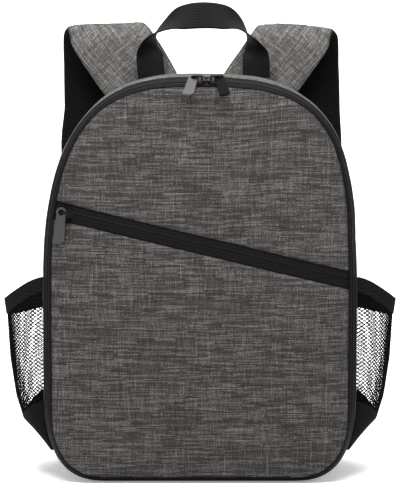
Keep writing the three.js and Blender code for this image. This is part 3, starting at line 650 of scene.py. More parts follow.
def plain_weave_group():
    """Close plain weave: two sets of even threads with a little unevenness."""
    group, n, given, out = new_group(
        "plain weave",
        [("Cloth", VECTOR, None), ("Colour", COLOUR, (0.02, 0.02, 0.02, 1)),
         ("Pitch", FLOAT, 1.0), ("Spread", FLOAT, 0.35)],
        [("Colour", COLOUR), ("Height", FLOAT)])
    cloth = n.tinted(given["Cloth"], given["Pitch"])
    uneven = n.noise(n.scaled(cloth, (0.4, 0.4, 1)), 1.0, 3.0, 0.6)
    height = n.math("MULTIPLY", n.crossed(cloth, 0.32, 0.8), 0.5)
    shade = n.math("ADD", n.about_half(height, given["Spread"]), n.about_half(uneven, 0.8))
    n.feed(out["Colour"], n.tinted(given["Colour"], n.math("ADD", shade, 1.0)))
    n.feed(out["Height"], height)
    return group


FULL_TURN = 6.283


def ribs_group():
    """Ribs that run along a band or across it, crossed by its finer threads."""
    group, n, given, out = new_group(
        "ribbed band",
        [("Cloth", VECTOR, None), ("Colour", COLOUR, (0.02, 0.02, 0.02, 1)),
         ("Ribs", FLOAT, 0.3), ("Threads", FLOAT, 0.6), ("Depth", FLOAT, 0.5)],
        [("Colour", COLOUR), ("Height", FLOAT)])
    cloth = given["Cloth"]
    split = n.add("ShaderNodeSeparateXYZ", {0: cloth}).outputs

    def waves(place, count):
        turns = n.math("MULTIPLY", place, n.math("MULTIPLY", count, FULL_TURN))
        return n.between(n.math("SINE", turns), -1, 1)

    ribs = waves(split["Y"], given["Ribs"])
    step = waves(split["X"], given["Threads"])
    height = n.math("ADD", n.math("MULTIPLY", ribs, 0.7), n.math("MULTIPLY", step, 0.3))
    worn = n.noise(n.scaled(cloth, (0.15, 0.15, 1)), 1.0, 3.0, 0.6)
    shade = n.math("ADD", n.about_half(height, given["Depth"]), n.about_half(worn, 0.5))
    n.feed(out["Colour"], n.tinted(given["Colour"], n.math("ADD", shade, 1.0)))
    n.feed(out["Height"], height)
    return group


def wear_group():
    """Fine grain and softer blotches, for plated metal and moulded plastic."""
    group, n, given, out = new_group(
        "grain and wear",
        [("Place", VECTOR, None), ("Colour", COLOUR, (0.1, 0.1, 0.1, 1)),
         ("Rough", FLOAT, 0.4), ("Spread", FLOAT, 0.2)],
        [("Colour", COLOUR), ("Roughness", FLOAT), ("Height", FLOAT)])
    grain = n.noise(given["Place"], 2600.0, 2.0)
    blotch = n.noise(given["Place"], 170.0, 3.0, 0.6)
    shade = n.math("ADD", n.about_half(blotch, given["Spread"]), 1.0)
    n.feed(out["Colour"], n.tinted(given["Colour"], shade))
    rough = n.math("ADD", given["Rough"], n.about_half(blotch, 0.25))
    n.feed(out["Roughness"], n.math("ADD", rough, n.about_half(grain, 0.1)))
    n.feed(out["Height"], grain)
    return group


SLUB_CLOTH = slub_cloth_group()
PLAIN_WEAVE = plain_weave_group()
RIBS = ribs_group()
WEAR = wear_group()


CLOTH_SPECULAR = 0.03


def new_material(name, roughness, specular=CLOTH_SPECULAR):
    material = bpy.data.materials.new(name)
    material.use_nodes = True
    nodes = Nodes(material.node_tree)
    shader = material.node_tree.nodes["Principled BSDF"]
    shader.inputs["Roughness"].default_value = roughness
    shader.inputs["Specular IOR Level"].default_value = specular
    return material, nodes, shader.inputs


def cloth_place(nodes, turn=0.0):
    spot = nodes.add("ShaderNodeAttribute", attribute_name="cloth").outputs["Vector"]
    return nodes.scaled(spot, (1, 1, 1), turn) if turn else spot


def bumped(nodes, height, strength, distance):
    node = nodes.add("ShaderNodeBump", {"Height": height, "Strength": strength,
                                        "Distance": distance})
    return node.outputs[0]


def grey_cloth(name, dark, middle, light, turn=0.0, weft=1.0, warp=0.55):
    material, n, shader = new_material(name, 0.95)
    weave = placed(n, SLUB_CLOTH, {"Cloth": cloth_place(n, turn), "Dark": (*dark, 1),
                                   "Middle": (*middle, 1), "Light": (*light, 1),
                                   "Weft": weft, "Warp": warp})
    n.feed(shader["Base Color"], weave["Colour"])
    n.feed(shader["Normal"], bumped(n, weave["Height"], 0.35, 0.0005))
    return material


def woven(name, colour, pitch=1.0, spread=0.35, roughness=0.92, bump=0.4,
          specular=CLOTH_SPECULAR):
    material, n, shader = new_material(name, roughness, specular=specular)
    weave = placed(n, PLAIN_WEAVE, {"Cloth": cloth_place(n), "Colour": (*colour, 1),
                                    "Pitch": pitch, "Spread": spread})
    n.feed(shader["Base Color"], weave["Colour"])
    n.feed(shader["Normal"], bumped(n, weave["Height"], bump, 0.0004))
    return material


def ribbed(name, colour, ribs, threads, depth=0.5, roughness=0.85, bump=0.5,
           specular=CLOTH_SPECULAR):
    material, n, shader = new_material(name, roughness, specular=specular)
    band = placed(n, RIBS, {"Cloth": cloth_place(n), "Colour": (*colour, 1), "Ribs": ribs,
                            "Threads": threads, "Depth": depth})
    n.feed(shader["Base Color"], band["Colour"])
    n.feed(shader["Normal"], bumped(n, band["Height"], bump, 0.0004))
    return material


def hard(name, colour, rough, metallic, specular=0.5):
    material, n, shader = new_material(name, rough, specular=specular)
    shader["Metallic"].default_value = metallic
    spot = n.add("ShaderNodeTexCoord").outputs["Object"]
    wear = placed(n, WEAR, {"Place": spot, "Colour": (*colour, 1), "Rough": rough,
                            "Spread": 0.2})
    n.feed(shader["Base Color"], wear["Colour"])
    n.feed(shader["Roughness"], wear["Roughness"])
    n.feed(shader["Normal"], bumped(n, wear["Height"], 0.1, 0.0001))
    return material


GREY_DARK = (0.010, 0.0093, 0.009)
GREY_MIDDLE = (0.0345, 0.032, 0.031)
GREY_LIGHT = (0.125, 0.119, 0.116)
PANEL_CLOTH = grey_cloth("grey slub cloth", GREY_DARK, GREY_MIDDLE, GREY_LIGHT)
# Painted light: the straps and the gusset use the panel's grey cloth made lighter, in place of the
# light from above on their up-facing faces.
GREY_DARK_PAINTED_LIGHT = (0.022, 0.0212, 0.0205)
STRAP_CLOTH_PAINTED_LIGHT = grey_cloth("grey slub cloth on the bias with painted light", GREY_DARK_PAINTED_LIGHT,
                         (0.066, 0.063, 0.0605), (0.18, 0.174, 0.168),
                         turn=math.radians(12), weft=0.9, warp=0.9)
GUSSET_CLOTH_PAINTED_LIGHT = grey_cloth("grey slub cloth round the gusset with painted light", GREY_DARK_PAINTED_LIGHT,
                          (0.062, 0.0595, 0.0575), (0.185, 0.178, 0.172))
BLACK_CLOTH = woven("black woven cloth", (0.005, 0.005, 0.0052))
TAPE_CLOTH = woven("black zip tape", (0.0042, 0.0042, 0.0043), pitch=1.6, spread=0.2,
                   roughness=0.6, bump=0.25, specular=0.05)
AIR_MESH = woven("black air mesh", (0.004, 0.004, 0.0041), pitch=0.5, spread=0.8, bump=0.9)
HANDLE_WEBBING = ribbed("ribbed webbing", (0.0045, 0.0045, 0.0046), 0.37, 0.55,
                        roughness=0.6, specular=0.06)
ELASTIC_BAND = ribbed("gathered elastic", (0.0065, 0.0065, 0.0066), 0.25, 0.33, depth=0.7,
                      bump=0.7)
NET_THREAD = woven("black net thread", (0.004, 0.004, 0.0041), pitch=3.0, bump=0.2,
                   specular=0.05)
BLACK_THREAD = woven("black sewing thread", (0.02, 0.02, 0.02), pitch=4.0, bump=0.2)
GREY_THREAD = woven("grey sewing thread", (0.06, 0.058, 0.056), pitch=4.0, bump=0.2)
GUNMETAL = hard("dark nickel", (0.085, 0.081, 0.077), 0.38, 1.0)
DARK_GUNMETAL = hard("black nickel", (0.004, 0.004, 0.004), 0.4, 0.0, specular=0.12)
# The two main zip pulls are one nickel in two copies: the left keeps a reflecting nickel as the lit
# one, and the right's copy is painted black with next to no reflection, as painted shade.
LIT_PULL_NICKEL = hard("nickel of the lit pull", (0.045, 0.043, 0.041), 0.4, 1.0)
PULL_PAINTED_SHADE = hard("black nickel with painted shade", (0.004, 0.004, 0.004), 0.55, 0.0, specular=0.01)
PLASTIC = hard("black moulded plastic", (0.012, 0.012, 0.013), 0.42, 0.0)


# The body

GUSSET_WAVES = [(46, 2.0, 0.9), (17, 5.0, 0.3)]  # size, seed and height of each
SEAM_WAVES = [(8, 9.0, 0.25)]
GUSSET_CALM = 52  # from the middle of the wall out to where it is held by its seams


def gusset_cover():
    """The padded wall that runs from one bottom corner over the top to the other."""
    outline = over_top(BODY)
    outside = [(2.2, -55.8), (1.2, -55.6), (0.2, -55.1), (-0.5, -53), (-0.3, -51), (-0.6, -47),
               (-1.2, -38), (-1.5, -26), (-1.9, -12), (-2, 2), (-1.9, 14), (-1.4, 28),
               (-0.9, 40), (-0.3, 48), (-0.1, 51), (-0.4, 54), (0.2, 56.8), (1.4, 58), (2.5, 58)]
    inside = [(8.5, 58), (6, 50), (5, 40), (3.8, 16), (3.5, 0), (4, -18), (5.2, -42), (7.5, -55.8)]
    length = along(outline[:, :2])
    sections, cloth = [], []
    for (x, z, nx, nz), s in zip(outline, length):
        section = []
        for inset, y in outside:
            calm = max(0.0, 1 - (abs(y) / GUSSET_CALM) ** 4)
            soft = waves((s, y, 0), GUSSET_WAVES)
            seam = waves((s, y * 0.4, 0), SEAM_WAVES) * min(1, abs(y) / 50)
            inset = inset - soft * calm - seam
            section.append((x - nx * inset, y, z - nz * inset))
        section += [(x - nx * inset, y, z - nz * inset) for inset, y in inside]
        sections.append(np.array(section))
        cloth += [(s, y) for _, y in outside] + [(s, -y) for _, y in inside]
    points, faces = tube(sections)
    # The gusset's cloth is painted lighter, in place of the light from above on the top.
    piece = add_piece("gusset_cover", points, faces, GUSSET_CLOTH_PAINTED_LIGHT, cloth,
                      replaces=["gusset"], settle=fuller_shoulder)
    return piece


def base_cover():
    outline = under_base(BODY)
    outside = [(1.4, -56.5), (0.5, -57.2), (0, -55), (0, -52), (0, -30), (0, 0), (0, 30),
               (0, 52), (0.2, 55.5), (1.2, 57.6), (2.5, 58)]
    inside = [(8.5, 58), (6, 48), (6, 0), (6, -46), (7.5, -56.5)]
    length = along(outline[:, :2])
    sections = [np.array([(x - nx * i, y, z - nz * i) for i, y in outside + inside])
                for x, z, nx, nz in outline]
    cloth = [(s, y) for s in length for _, y in outside + inside]
    points, faces = tube(sections)
    piece = add_piece("base_cover", points, faces, BLACK_CLOTH, cloth,
                      replaces=["base"])
    return piece


TAPE_RUN = 12


def edge_strip(name, outer, inner, profile, material, node):
    """A strip between the body's outline (across 0) and the panel's (across 1)."""
    length = along(outer[:, :2])
    sections, cloth = [], []
    for (ax, az, _, _), (bx, bz, _, _), s in zip(outer, inner, length):
        section = [(ax + (bx - ax) * across, front_y(rise) + set_back,
                    az + (bz - az) * across) for across, rise, set_back in profile]
        sections.append(np.array(section))
        cloth += [(s, across * TAPE_RUN) for across, _, _ in profile]
    points, faces = tube(sections)
    return add_piece(name, points, faces, material, cloth, replaces=[node],
                     settle=fuller_shoulder)


STRIP_SLOPE = [(0.0, -0.06), (0.06, 0.02), (0.18, 0.083), (0.55, 0.405), (0.97, 0.66)]


def strip_profile(lines):
    """The strip's outer face through its slope rows, raised and grooved by lines."""
    across = np.linspace(0, 0.97, 30)
    rise = np.interp(across, *zip(*STRIP_SLOPE))
    face = []
    for a, r in zip(across, rise):
        lift = sum(high * math.exp(-((a - at) / wide) ** 2) for at, high, wide in lines)
        face.append((a, r, -lift))
    back = [(0.97, 0.5, 0), (0.66, 0.3, 0), (0.36, -0.02, 0), (0.1, -0.12, 0)]
    return face + back


def main_zip():
    """The black tape round the front: two coil channels that meet at a split."""
    profile = strip_profile([(0.47, 0.55, 0.07), (0.59, -0.9, 0.028), (0.71, 0.55, 0.07),
                             (0.88, -0.5, 0.03)])
    edge_strip("main_zip_cover", over_top(BODY), over_top(PANEL), profile, TAPE_CLOTH,
               "main_zip_tape")


def bottom_band():
    profile = strip_profile([(0.45, 0.5, 0.16), (0.86, -0.5, 0.04)])
    edge_strip("bottom_band", under_base(BODY), under_base(PANEL), profile, BLACK_CLOTH,
               "bottom_strip")


def zip_point(along_zip, rise):
    c, s = math.cos(POCKET_ZIP["slope"]), math.sin(POCKET_ZIP["slope"])
    return along_zip * c + rise * s, POCKET_ZIP["z"] - along_zip * s + rise * c


def zip_rise(x, z):
    c, s = math.cos(POCKET_ZIP["slope"]), math.sin(POCKET_ZIP["slope"])
    return x * s + (z - POCKET_ZIP["z"]) * c


PANEL_EDGE = 0.595  # shares of FRONT_RISE
PANEL_CROWN = 0.405


def panel_rise(share):
    """The front panel's roundness, from its middle to its rolled edge."""
    share = np.clip(share, 0, 1)
    return PANEL_EDGE + PANEL_CROWN * (1 - share ** 2.2) ** 0.45


def outline_halves(shape):
    """The left and the right of an outline, each from the bottom's middle to the top's."""
    outline = whole(shape)[:, :2]
    half = len(outline) // 2
    return np.vstack([outline[:1], outline[:half - 1:-1]]), outline[:half + 1]


def panel_edges(rise):
    """The panel's outline below and above a line across it, on each side."""
    sides = []
    for line in outline_halves(PANEL):
        rises = zip_rise(line[:, 0], line[:, 1]) - rise
        cut = int(np.argmax(rises > 0))
        share = rises[cut - 1] / (rises[cut - 1] - rises[cut])
        point = line[cut - 1] + (line[cut] - line[cut - 1]) * share
        sides.append((np.vstack([line[:cut], point]), np.vstack([point, line[cut:]])))
    return sides


def corner_index(shape, line, x_share, upper):
    """Where a side of the outline turns the corner between its two neighbouring edges."""
    ids = [i for i, (x, _) in enumerate(line) if abs(x) >= x_share * shape["half_width"]]
    return ids[-1] if upper else ids[0]


ZIP_ROLL = 1.7  # how the cloth rolls in to the zip
ZIP_RIDGE = dict(height=0.5, at=5, width=3.2)
ZIP_CALM = 16
PANEL_WAVES = [(85, 1.0, 1.3), (33, 4.0, 0.35)]
PANEL_CALM = 0.14  # shares of the way in from the outline
PUCKER_REACH = 0.035
PUCKER_DEPTH = 0.3
SEAM_SHARE = 0.975
SEAM_FROM_ZIP = 2.6
PANEL_PUFF = dict(pressure=3.0, cap=2.5)


def cloth_panel(name, grid, edge_rise, sign, node):
    """A padded half of the front panel on a grid of (x, z) places."""
    x, z = grid[..., 0], grid[..., 1]
    share = outline_share(PANEL, x, z)
    away = np.clip(sign * (zip_rise(x, z) - edge_rise), 0, None)
    turned = np.clip(1 - away / ZIP_ROLL, 0, 1)
    y = front_y(panel_rise(share)) + ZIP_ROLL * (1 - np.sqrt(1 - turned ** 2))
    y -= ZIP_RIDGE["height"] * np.exp(-((away - ZIP_RIDGE["at"]) / ZIP_RIDGE["width"]) ** 2)
    calm = (np.clip((1 - share) / PANEL_CALM, 0, 1)
            * np.clip(away / ZIP_CALM, 0, 1))
    pucker = np.exp(-((1 - share) / PUCKER_REACH) ** 2)
    y -= calm * waves_on_grid(x, z, PANEL_WAVES)
    y -= pucker * waves_on_grid(x, z, [(9, 6.0, 1.0)]) * PUCKER_DEPTH
    front = np.stack([x, y, z], -1)
    lining = np.interp(share, (0.3, 0.8, 1), (0.708, 0.578, 0.438))
    back = np.stack([x, front_y(lining), z], -1)
    points, faces = pad(front, back)
    cloth = [(p[0], p[2]) for p in points]
    piece = add_piece(name, points, faces, PANEL_CLOTH, cloth, replaces=[node],
                      settle=fuller_shoulder)
    seam = (share > SEAM_SHARE) | (away < SEAM_FROM_ZIP)
    pinned = np.concatenate([seam.ravel(), np.ones(seam.size, bool)])
    puffed(piece, pinned, **PANEL_PUFF)
    return piece


def front_panels():
    edge = POCKET_ZIP["half_width"] + GAP
    columns, rows = 110, 64
    (low_left, _), (low_right, _) = panel_edges(-edge)
    a = corner_index(PANEL, low_left, 0.9, upper=False)
    b = corner_index(PANEL, low_right, 0.9, upper=False)
    bottom = np.vstack([low_left[a:0:-1], low_right[:b + 1]])
    top = np.linspace(low_left[-1], low_right[-1], 40)
    grid = patch(eased(bottom, columns), eased(top, columns), eased(low_left[a:], rows),
                 eased(low_right[b:], rows))
    cloth_panel("front_panel_lower_cover", grid, -edge, -1, "front_panel_lower")
    (_, high_left), (_, high_right) = panel_edges(edge)
    a = corner_index(PANEL, high_left, 0.72, upper=True)
    b = corner_index(PANEL, high_right, 0.72, upper=True)
    top = np.vstack([high_left[a:], high_right[-2:b - 1:-1]])
    bottom = np.linspace(high_left[0], high_right[0], 40)
    grid = patch(eased(bottom, columns), eased(top, columns), eased(high_left[:a + 1], rows),
                 eased(high_right[:b + 1], rows))
    cloth_panel("front_panel_upper_cover", grid, edge, 1, "front_panel_upper")


ZIP_RELIEF = [(0.55, 1.35, 0.75), (-0.5, 0, 0.3), (0.12, 5.6, 0.35)]  # ridge, split, seam


def pocket_zip():
    """The slanted zip: a black tape whose covered coil shows as two low ridges and a split."""
    half = POCKET_ZIP["half_width"]
    rises = np.concatenate([np.linspace(-half, -3.4, 5), np.linspace(-3, 3, 19),
                            np.linspace(3.4, half, 5)])
    ends = []
    for rise in (-half, half):
        (low_left, _), (low_right, _) = panel_edges(rise)
        for line, side in ((low_left, 0), (low_right, 1)):
            x, z = line[-1]
            ends.append(x * math.cos(POCKET_ZIP["slope"])
                        - (z - POCKET_ZIP["z"]) * math.sin(POCKET_ZIP["slope"]))
    first, last = (ends[0], ends[2]), (ends[1], ends[3])
    sections, cloth = [], []
    for t in np.linspace(0, 1, 150):
        face = []
        for rise in rises:
            w = (rise + half) / (2 * half)
            begin = first[0] + (first[1] - first[0]) * w
            finish = last[0] + (last[1] - last[0]) * w
            at = begin + (finish - begin) * t
            x, z = zip_point(at, rise)
            share = float(outline_share(PANEL, np.array(x), np.array(z)))
            y = front_y(float(panel_rise(min(share, 0.985)))) + POCKET_ZIP["recess"]
            lift = sum(high * math.exp(-((abs(rise) - place) / wide) ** 2)
                       for high, place, wide in ZIP_RELIEF)
            wave = 0.15 * ripple((at, 0, rise), 30, 8.0)
            face.append((x, y - lift - wave, z))
            cloth.append((at, rise))
        back = [(x, y + 1.6, z) for x, y, z in face[::-4]]
        cloth += [(0, 0)] * len(back)
        sections.append(np.array(face + back))
    points, faces = tube(sections)
    add_piece("pocket_zip_cover", points, faces, TAPE_CLOTH, cloth,
              replaces=["pocket_zip_tape"], settle=fuller_shoulder)


BACK_WAVES = [(60, 3.0, 0.5)]
BACK_SINK = 0.4
CHANNEL = dict(half_width=9, depth=2.6)
PAD_SHARE = 0.99
PAD_EDGE = 0.356


def back_pad():
    """The padded back: two long cushions either side of a shallow channel."""
    left, right = outline_halves(BODY)
    a, b, c, d = (corner_index(BODY, line, 0.8, upper) for line in (left, right)
                  for upper in (False, True))
    columns, rows = 80, 96
    bottom = np.vstack([left[a:0:-1], right[:c + 1]])
    top = np.vstack([left[b:], right[-2:d - 1:-1]])
    grid = patch(eased(bottom, columns), eased(top, columns), eased(left[a:b + 1], rows),
                 eased(right[c:d + 1], rows))
    grid = (grid - [0, CENTRE_HEIGHT]) * PAD_SHARE + [0, CENTRE_HEIGHT]
    x, z = grid[..., 0], grid[..., 1]
    share = np.clip(outline_share(BODY, x, z) / PAD_SHARE, 0, 1)
    rise = PAD_EDGE + 0.644 * (1 - share ** 9) ** 0.5
    y = back_y(rise)
    inside = np.clip((0.9 - share) / 0.06, 0, 1)
    y += inside * (waves_on_grid(x, z, BACK_WAVES) - BACK_SINK)
    channel = np.exp(-(x / CHANNEL["half_width"]) ** 2) * inside
    y -= CHANNEL["depth"] * channel
    front = np.stack([x, y, z], -1)
    back = np.stack([x, np.full_like(y, back_y(0)), z], -1)
    points, faces = pad(front, back)
    cloth = [(p[0], p[2]) for p in points]
    piece = add_piece("back_pad", points, faces, AIR_MESH, cloth,
                      replaces=["back_panel"], settle=fuller_shoulder)


# Handle and straps

def swept_band(rows, width, steps, section):
    """Sections along a route, their places on the cloth, and the route's width at each.

    section(width) lists (across, outward) places, all the way round.
    """
    sections, cloth, widths = [], [], []
    for place, across, outward, wide, length in route_frames(rows, width, steps):
        round_it = section(wide)
        sections.append(np.array([place + across * a + outward * n for a, n in round_it]))
        cloth += [(length, a) for a, _ in round_it]
        widths.append(wide)
    return sections, cloth, widths


def side_line(places, outwards, side):
    """A line's places and outward directions, on the left or the right."""
    return (mirrored_points(np.array(places), side), mirrored_points(np.array(outwards), side))


def band_section(width, thickness, columns):
    """A flat band with rounded edges, as (across, outward) all the way round."""
    w, t = width / 2, thickness / 2
    top = [(a, t * (1 - abs(a / w) ** 14) ** 0.5) for a in np.linspace(-w, w, columns + 1)]
    low = [(a, -n) for a, n in top[::-1]][1:-1]
    return top + low


def top_handle():
    rows = [((x * HANDLE["half_span"], back_y(PAD_EDGE), BODY["top"] + rise * HANDLE["rise"]),
             across) for x, rise, across in HANDLE_ROUTE]

    def section(width):
        flat = band_section(width, HANDLE["thickness"] * 0.9, columns=30)
        return [(a, n + 0.12 * math.cos(2 * math.pi * a / 2.7) * (1 if n > 0 else -1))
                for a, n in flat]

    sections, cloth, _ = swept_band(rows, HANDLE["width"], 150, section)
    points, faces = tube(sections)
    add_piece("top_handle_webbing", points, faces, HANDLE_WEBBING, cloth,
              replaces=["top_handle"])


STRAP_STEPS = 130
STRAP_WAVES = [(40, 11.0, 0.6)]
STRAP_PUFF = dict(pressure=2.0, cap=1.2)
STRAP_CHANNEL = dict(inset=5.5, depth=0.9, half_width=0.8, free=6.5)


def strap_piece(side, name, section, material, node):
    sections, cloth, widths = swept_band(strap_rows(), STRAP["width"], STRAP_STEPS, section)
    points, faces = tube(sections)
    for i, (length, across) in enumerate(cloth):
        points[i] = points[i] + [0, 0, waves((length, across, 0), STRAP_WAVES) * 0.5]
    points = mirrored_points(points, side)
    piece = add_piece(f"{name}_{side}", points, faces, material, cloth, replaces=[node],
                      settle=lambda p: settled_strap(p, side))
    w = np.array([abs(c[1]) for c in cloth])
    wide = np.repeat(widths, len(sections[0]))
    free = w < wide / 2 - STRAP_CHANNEL["free"]
    hidden = np.tile(section_hidden(section), len(sections))
    puffed(piece, ~free | hidden, **STRAP_PUFF)
    return piece


def section_hidden(section):
    """Which of a section's points face the strap's other half."""
    return np.array([abs(out) <= STRAP["gap"] + 0.02 for _, out in section(STRAP["width"])])


def strap_outer_section(width):
    """The grey face: crowned, with a stitched channel near each edge."""
    w = width / 2
    face = []
    for a in np.linspace(-w, w, 37):
        crown = STRAP["outer"] * (1 - abs(a / w) ** 7) ** 0.5
        off = (abs(a) - (w - STRAP_CHANNEL["inset"])) / STRAP_CHANNEL["half_width"]
        channel = STRAP_CHANNEL["depth"] * math.exp(-off ** 2)
        face.append((a, max(crown - channel, 0.4)))
    back = [(a, 0.02) for a in np.linspace(w - 2.5, -w + 2.5, 9)]
    return face + back


def strap_lining_section(width):
    w = width / 2 + 0.4
    back = [(a, -STRAP["gap"]) for a in np.linspace(-w, w, 9)]
    face = []
    for a in np.linspace(w, -w, 31):
        crown = (STRAP["lining"] - STRAP["gap"]) * (1 - abs(a / w) ** 8) ** 0.5
        face.append((a, -STRAP["gap"] - max(crown, 0.1)))
    return back + face[1:-1]


def straps():
    for side in ("left", "right"):
        # The strap faces' cloth is painted lighter, as if lit from above.
        strap_piece(side, "strap_face", strap_outer_section, STRAP_CLOTH_PAINTED_LIGHT,
                    f"shoulder_strap_{side}")
        strap_piece(side, "strap_mesh", strap_lining_section, AIR_MESH,
                    f"strap_lining_{side}")


def strap_stitches():
    """A row of stitches in each of the two channels of a strap's face."""
    for side in ("left", "right"):
        lines = []
        for edge in (-1, 1):
            spots, outs = [], []
            for place, across, outward, width, _ in route_frames(strap_rows(), STRAP["width"],
                                                                 STRAP_STEPS):
                w = width / 2
                off = w - STRAP_CHANNEL["inset"]
                crown = STRAP["outer"] * (1 - (off / w) ** 7) ** 0.5 - STRAP_CHANNEL["depth"]
                spots.append(place + across * edge * off + outward * (crown + 0.1))
                outs.append(outward)
            places, outs = side_line(spots, outs, side)
            lines.append(list(zip(settled_strap(places, side), outs)))
        stitches(f"strap_stitches_{side}", lines, GREY_THREAD)


def strap_ends():
    for side in ("left", "right"):
        for name, rows, width, thickness, steps, material, slot, node in (
                ("strap_web", webbing_rows(), WEBBING["width"], WEBBING["thickness"], 90,
                 HANDLE_WEBBING, "webbing", "strap_webbing"),
                ("strap_tab", tab_rows(), TAB["width"], TAB["thickness"], 16, BLACK_CLOTH,
                 "black_fabric", "strap_anchor_tab")):
            sections, cloth, _ = swept_band(
                rows, width, steps, lambda wide, t=thickness: band_section(wide, t * 0.92, 18))
            points, faces = tube(sections)
            add_piece(f"{name}_{side}", mirrored_points(points, side), faces, material,
                      cloth, replaces=[f"{node}_{side}"])


# Side pockets

RIM_BAND = dict(rows=6, thickness=2.4, offset=-0.4, columns=200)
BASE_BAND = dict(rows=14, thickness=2.0, offset=-0.3, columns=80)


def pocket_band(low, high, bump, rows, thickness, offset, columns):
    """A closed band of the left pocket's wall between two heights."""
    sections, cloth = [], []
    run = 0.0
    before = None
    for turn in np.linspace(0.2, 179.8, columns):
        heights = np.linspace(low(turn), high(turn), rows + 1)
        outer = [pocket_place(turn, z, offset) for z in heights]
        inner = [pocket_place(turn, z, offset + thickness) for z in heights]
        middle = outer[len(outer) // 2]
        if before is not None:
            run += np.linalg.norm(middle - before)
        before = middle
        outward = (np.array(outer) - np.array(inner)) / thickness
        for k, z in enumerate(heights):
            move = outward[k] * bump(run, z - heights[0], turn)
            outer[k] = outer[k] + move
            inner[k] = inner[k] + move
        sections.append(np.array(outer + inner[::-1]))
        cloth += [(run, z) for z in heights] + [(run, z) for z in heights[::-1]]
    return sections, cloth


def rim_bottom(turn):
    return level(RIM_TOP, turn) - POCKET["rim_height"]


def pocket_fold(run, height, turn):
    """Soft upright folds in the net and the rim, calm at the seams."""
    calm = math.sin(math.radians(turn)) ** 0.7
    return calm * (ripple((run, height * 0.22, 0), 17, 13.0) * 0.9
                   + ripple((run, height * 0.5, 0), 40, 14.0) * 1.4)


def pocket_rims():
    def gather(run, height, turn):
        return 0.25 * math.sin(run * 2 * math.pi / 3.1) + pocket_fold(run, height, turn) * 0.35

    sections, cloth = pocket_band(rim_bottom, lambda t: level(RIM_TOP, t), gather, **RIM_BAND)
    for side in ("left", "right"):
        points, faces = tube(sections)
        piece = add_piece(f"pocket_rim_{side}", mirrored_points(points, side), faces,
                          ELASTIC_BAND, cloth, replaces=[f"side_pocket_rim_{side}"])


def rim_stitches():
    """Two rows of stitches that hold each pocket's elastic to its net."""
    for side in ("left", "right"):
        lines = []
        for rise in (1.6, 3.4):
            spots, outs = [], []
            for turn in np.linspace(1, 179, 160):
                place = pocket_place(turn, rim_bottom(turn) + rise, -0.55)
                outward = place - pocket_place(turn, rim_bottom(turn) + rise, 1)
                spots.append(place)
                outs.append(outward / np.linalg.norm(outward))
            lines.append(list(zip(*side_line(spots, outs, side))))
        stitches(f"pocket_rim_stitches_{side}", lines, BLACK_THREAD)


def pocket_bases():
    sections, cloth = pocket_band(lambda t: level(FLOOR, t), lambda t: level(NET_BOTTOM, t) - GAP,
                                  lambda r, h, t: pocket_fold(r, h, t) * 0.25, **BASE_BAND)
    for side in ("left", "right"):
        points, faces = tube(sections)
        piece = add_piece(f"pocket_base_{side}", mirrored_points(points, side), faces,
                          BLACK_CLOTH, cloth,
                          replaces=[f"side_pocket_base_{side}"])


NET_CELL = (3.0, 1.9)
NET_THREAD_WIDTH = 1.2
NET_INSET = 0.75
NET_TUCK = dict(below=2, above=3)  # into the base and behind the rim
NET_UNEVEN = 0.2


def net_points():
    """Knots of the diamond net on the wall, with its faces as diamonds between four knots."""
    turns = np.linspace(0.2, 179.8, 240)
    middle = [pocket_place(t, 0.5 * (level(NET_BOTTOM, t) + rim_bottom(t)), NET_INSET)
              for t in turns]
    lengths = along(np.array(middle))
    base = min(level(NET_BOTTOM, t) for t in turns) - NET_TUCK["below"]
    height = max(rim_bottom(t) for t in turns) + 4 - base
    columns = 2 * int(lengths[-1] / NET_CELL[0] / 2)
    rows = int(height / NET_CELL[1])
    ids, points = {}, []
    random.seed(SEED)
    for j in range(rows + 1):
        for i in range(columns + 1):
            if (i + j) % 2:
                continue
            run = lengths[-1] * i / columns
            turn = float(np.interp(run, lengths, turns))
            low = level(NET_BOTTOM, turn) - NET_TUCK["below"]
            high = rim_bottom(turn) + NET_TUCK["above"]
            z = base + j * NET_CELL[1]
            if not low <= z <= high:
                continue
            place = pocket_place(turn, z, NET_INSET)
            outward = pocket_place(turn, z, 0) - pocket_place(turn, z, 1)
            outward /= max(np.linalg.norm(outward), 1e-6)
            place = place + outward * pocket_fold(run, z - low, turn)
            if 0 < i < columns:
                place = place + [0, random.uniform(-NET_UNEVEN, NET_UNEVEN),
                                 random.uniform(-NET_UNEVEN, NET_UNEVEN)]
            ids[i, j] = len(points)
            points.append(place)
    faces = []
    for j in range(rows + 1):
        for i in range(columns + 1):
            if (i + j) % 2 == 0:
                continue
            around = [(i - 1, j), (i, j - 1), (i + 1, j), (i, j + 1)]
            corners = [ids[k] for k in around if k in ids]
            if len(corners) >= 3:
                faces.append(tuple(corners))
    return np.array(points), faces, lengths[-1]


def pocket_nets():
    points, faces, net_run = net_points()
    for side in ("left", "right"):
        piece = add_piece(f"pocket_net_{side}", mirrored_points(points, side), faces, NET_THREAD)
        wire = piece.modifiers.new("threads", "WIREFRAME")
        wire.thickness = NET_THREAD_WIDTH * MM
        wire.use_boundary = True
        wire.use_even_offset = False
        made = bpy.data.meshes.new_from_object(
            piece.evaluated_get(bpy.context.evaluated_depsgraph_get()))
        piece.modifiers.clear()
        piece.data = made
        spots = np.zeros(len(made.vertices) * 3, np.float32)
        made.vertices.foreach_get("co", spots)
        layer = made.attributes.new("cloth", "FLOAT_VECTOR", "POINT")
        layer.data.foreach_set("vector", spots / np.float32(MM))
        made.shade_smooth()
        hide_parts(f"side_pocket_net_{side}")


# Metal and plastic

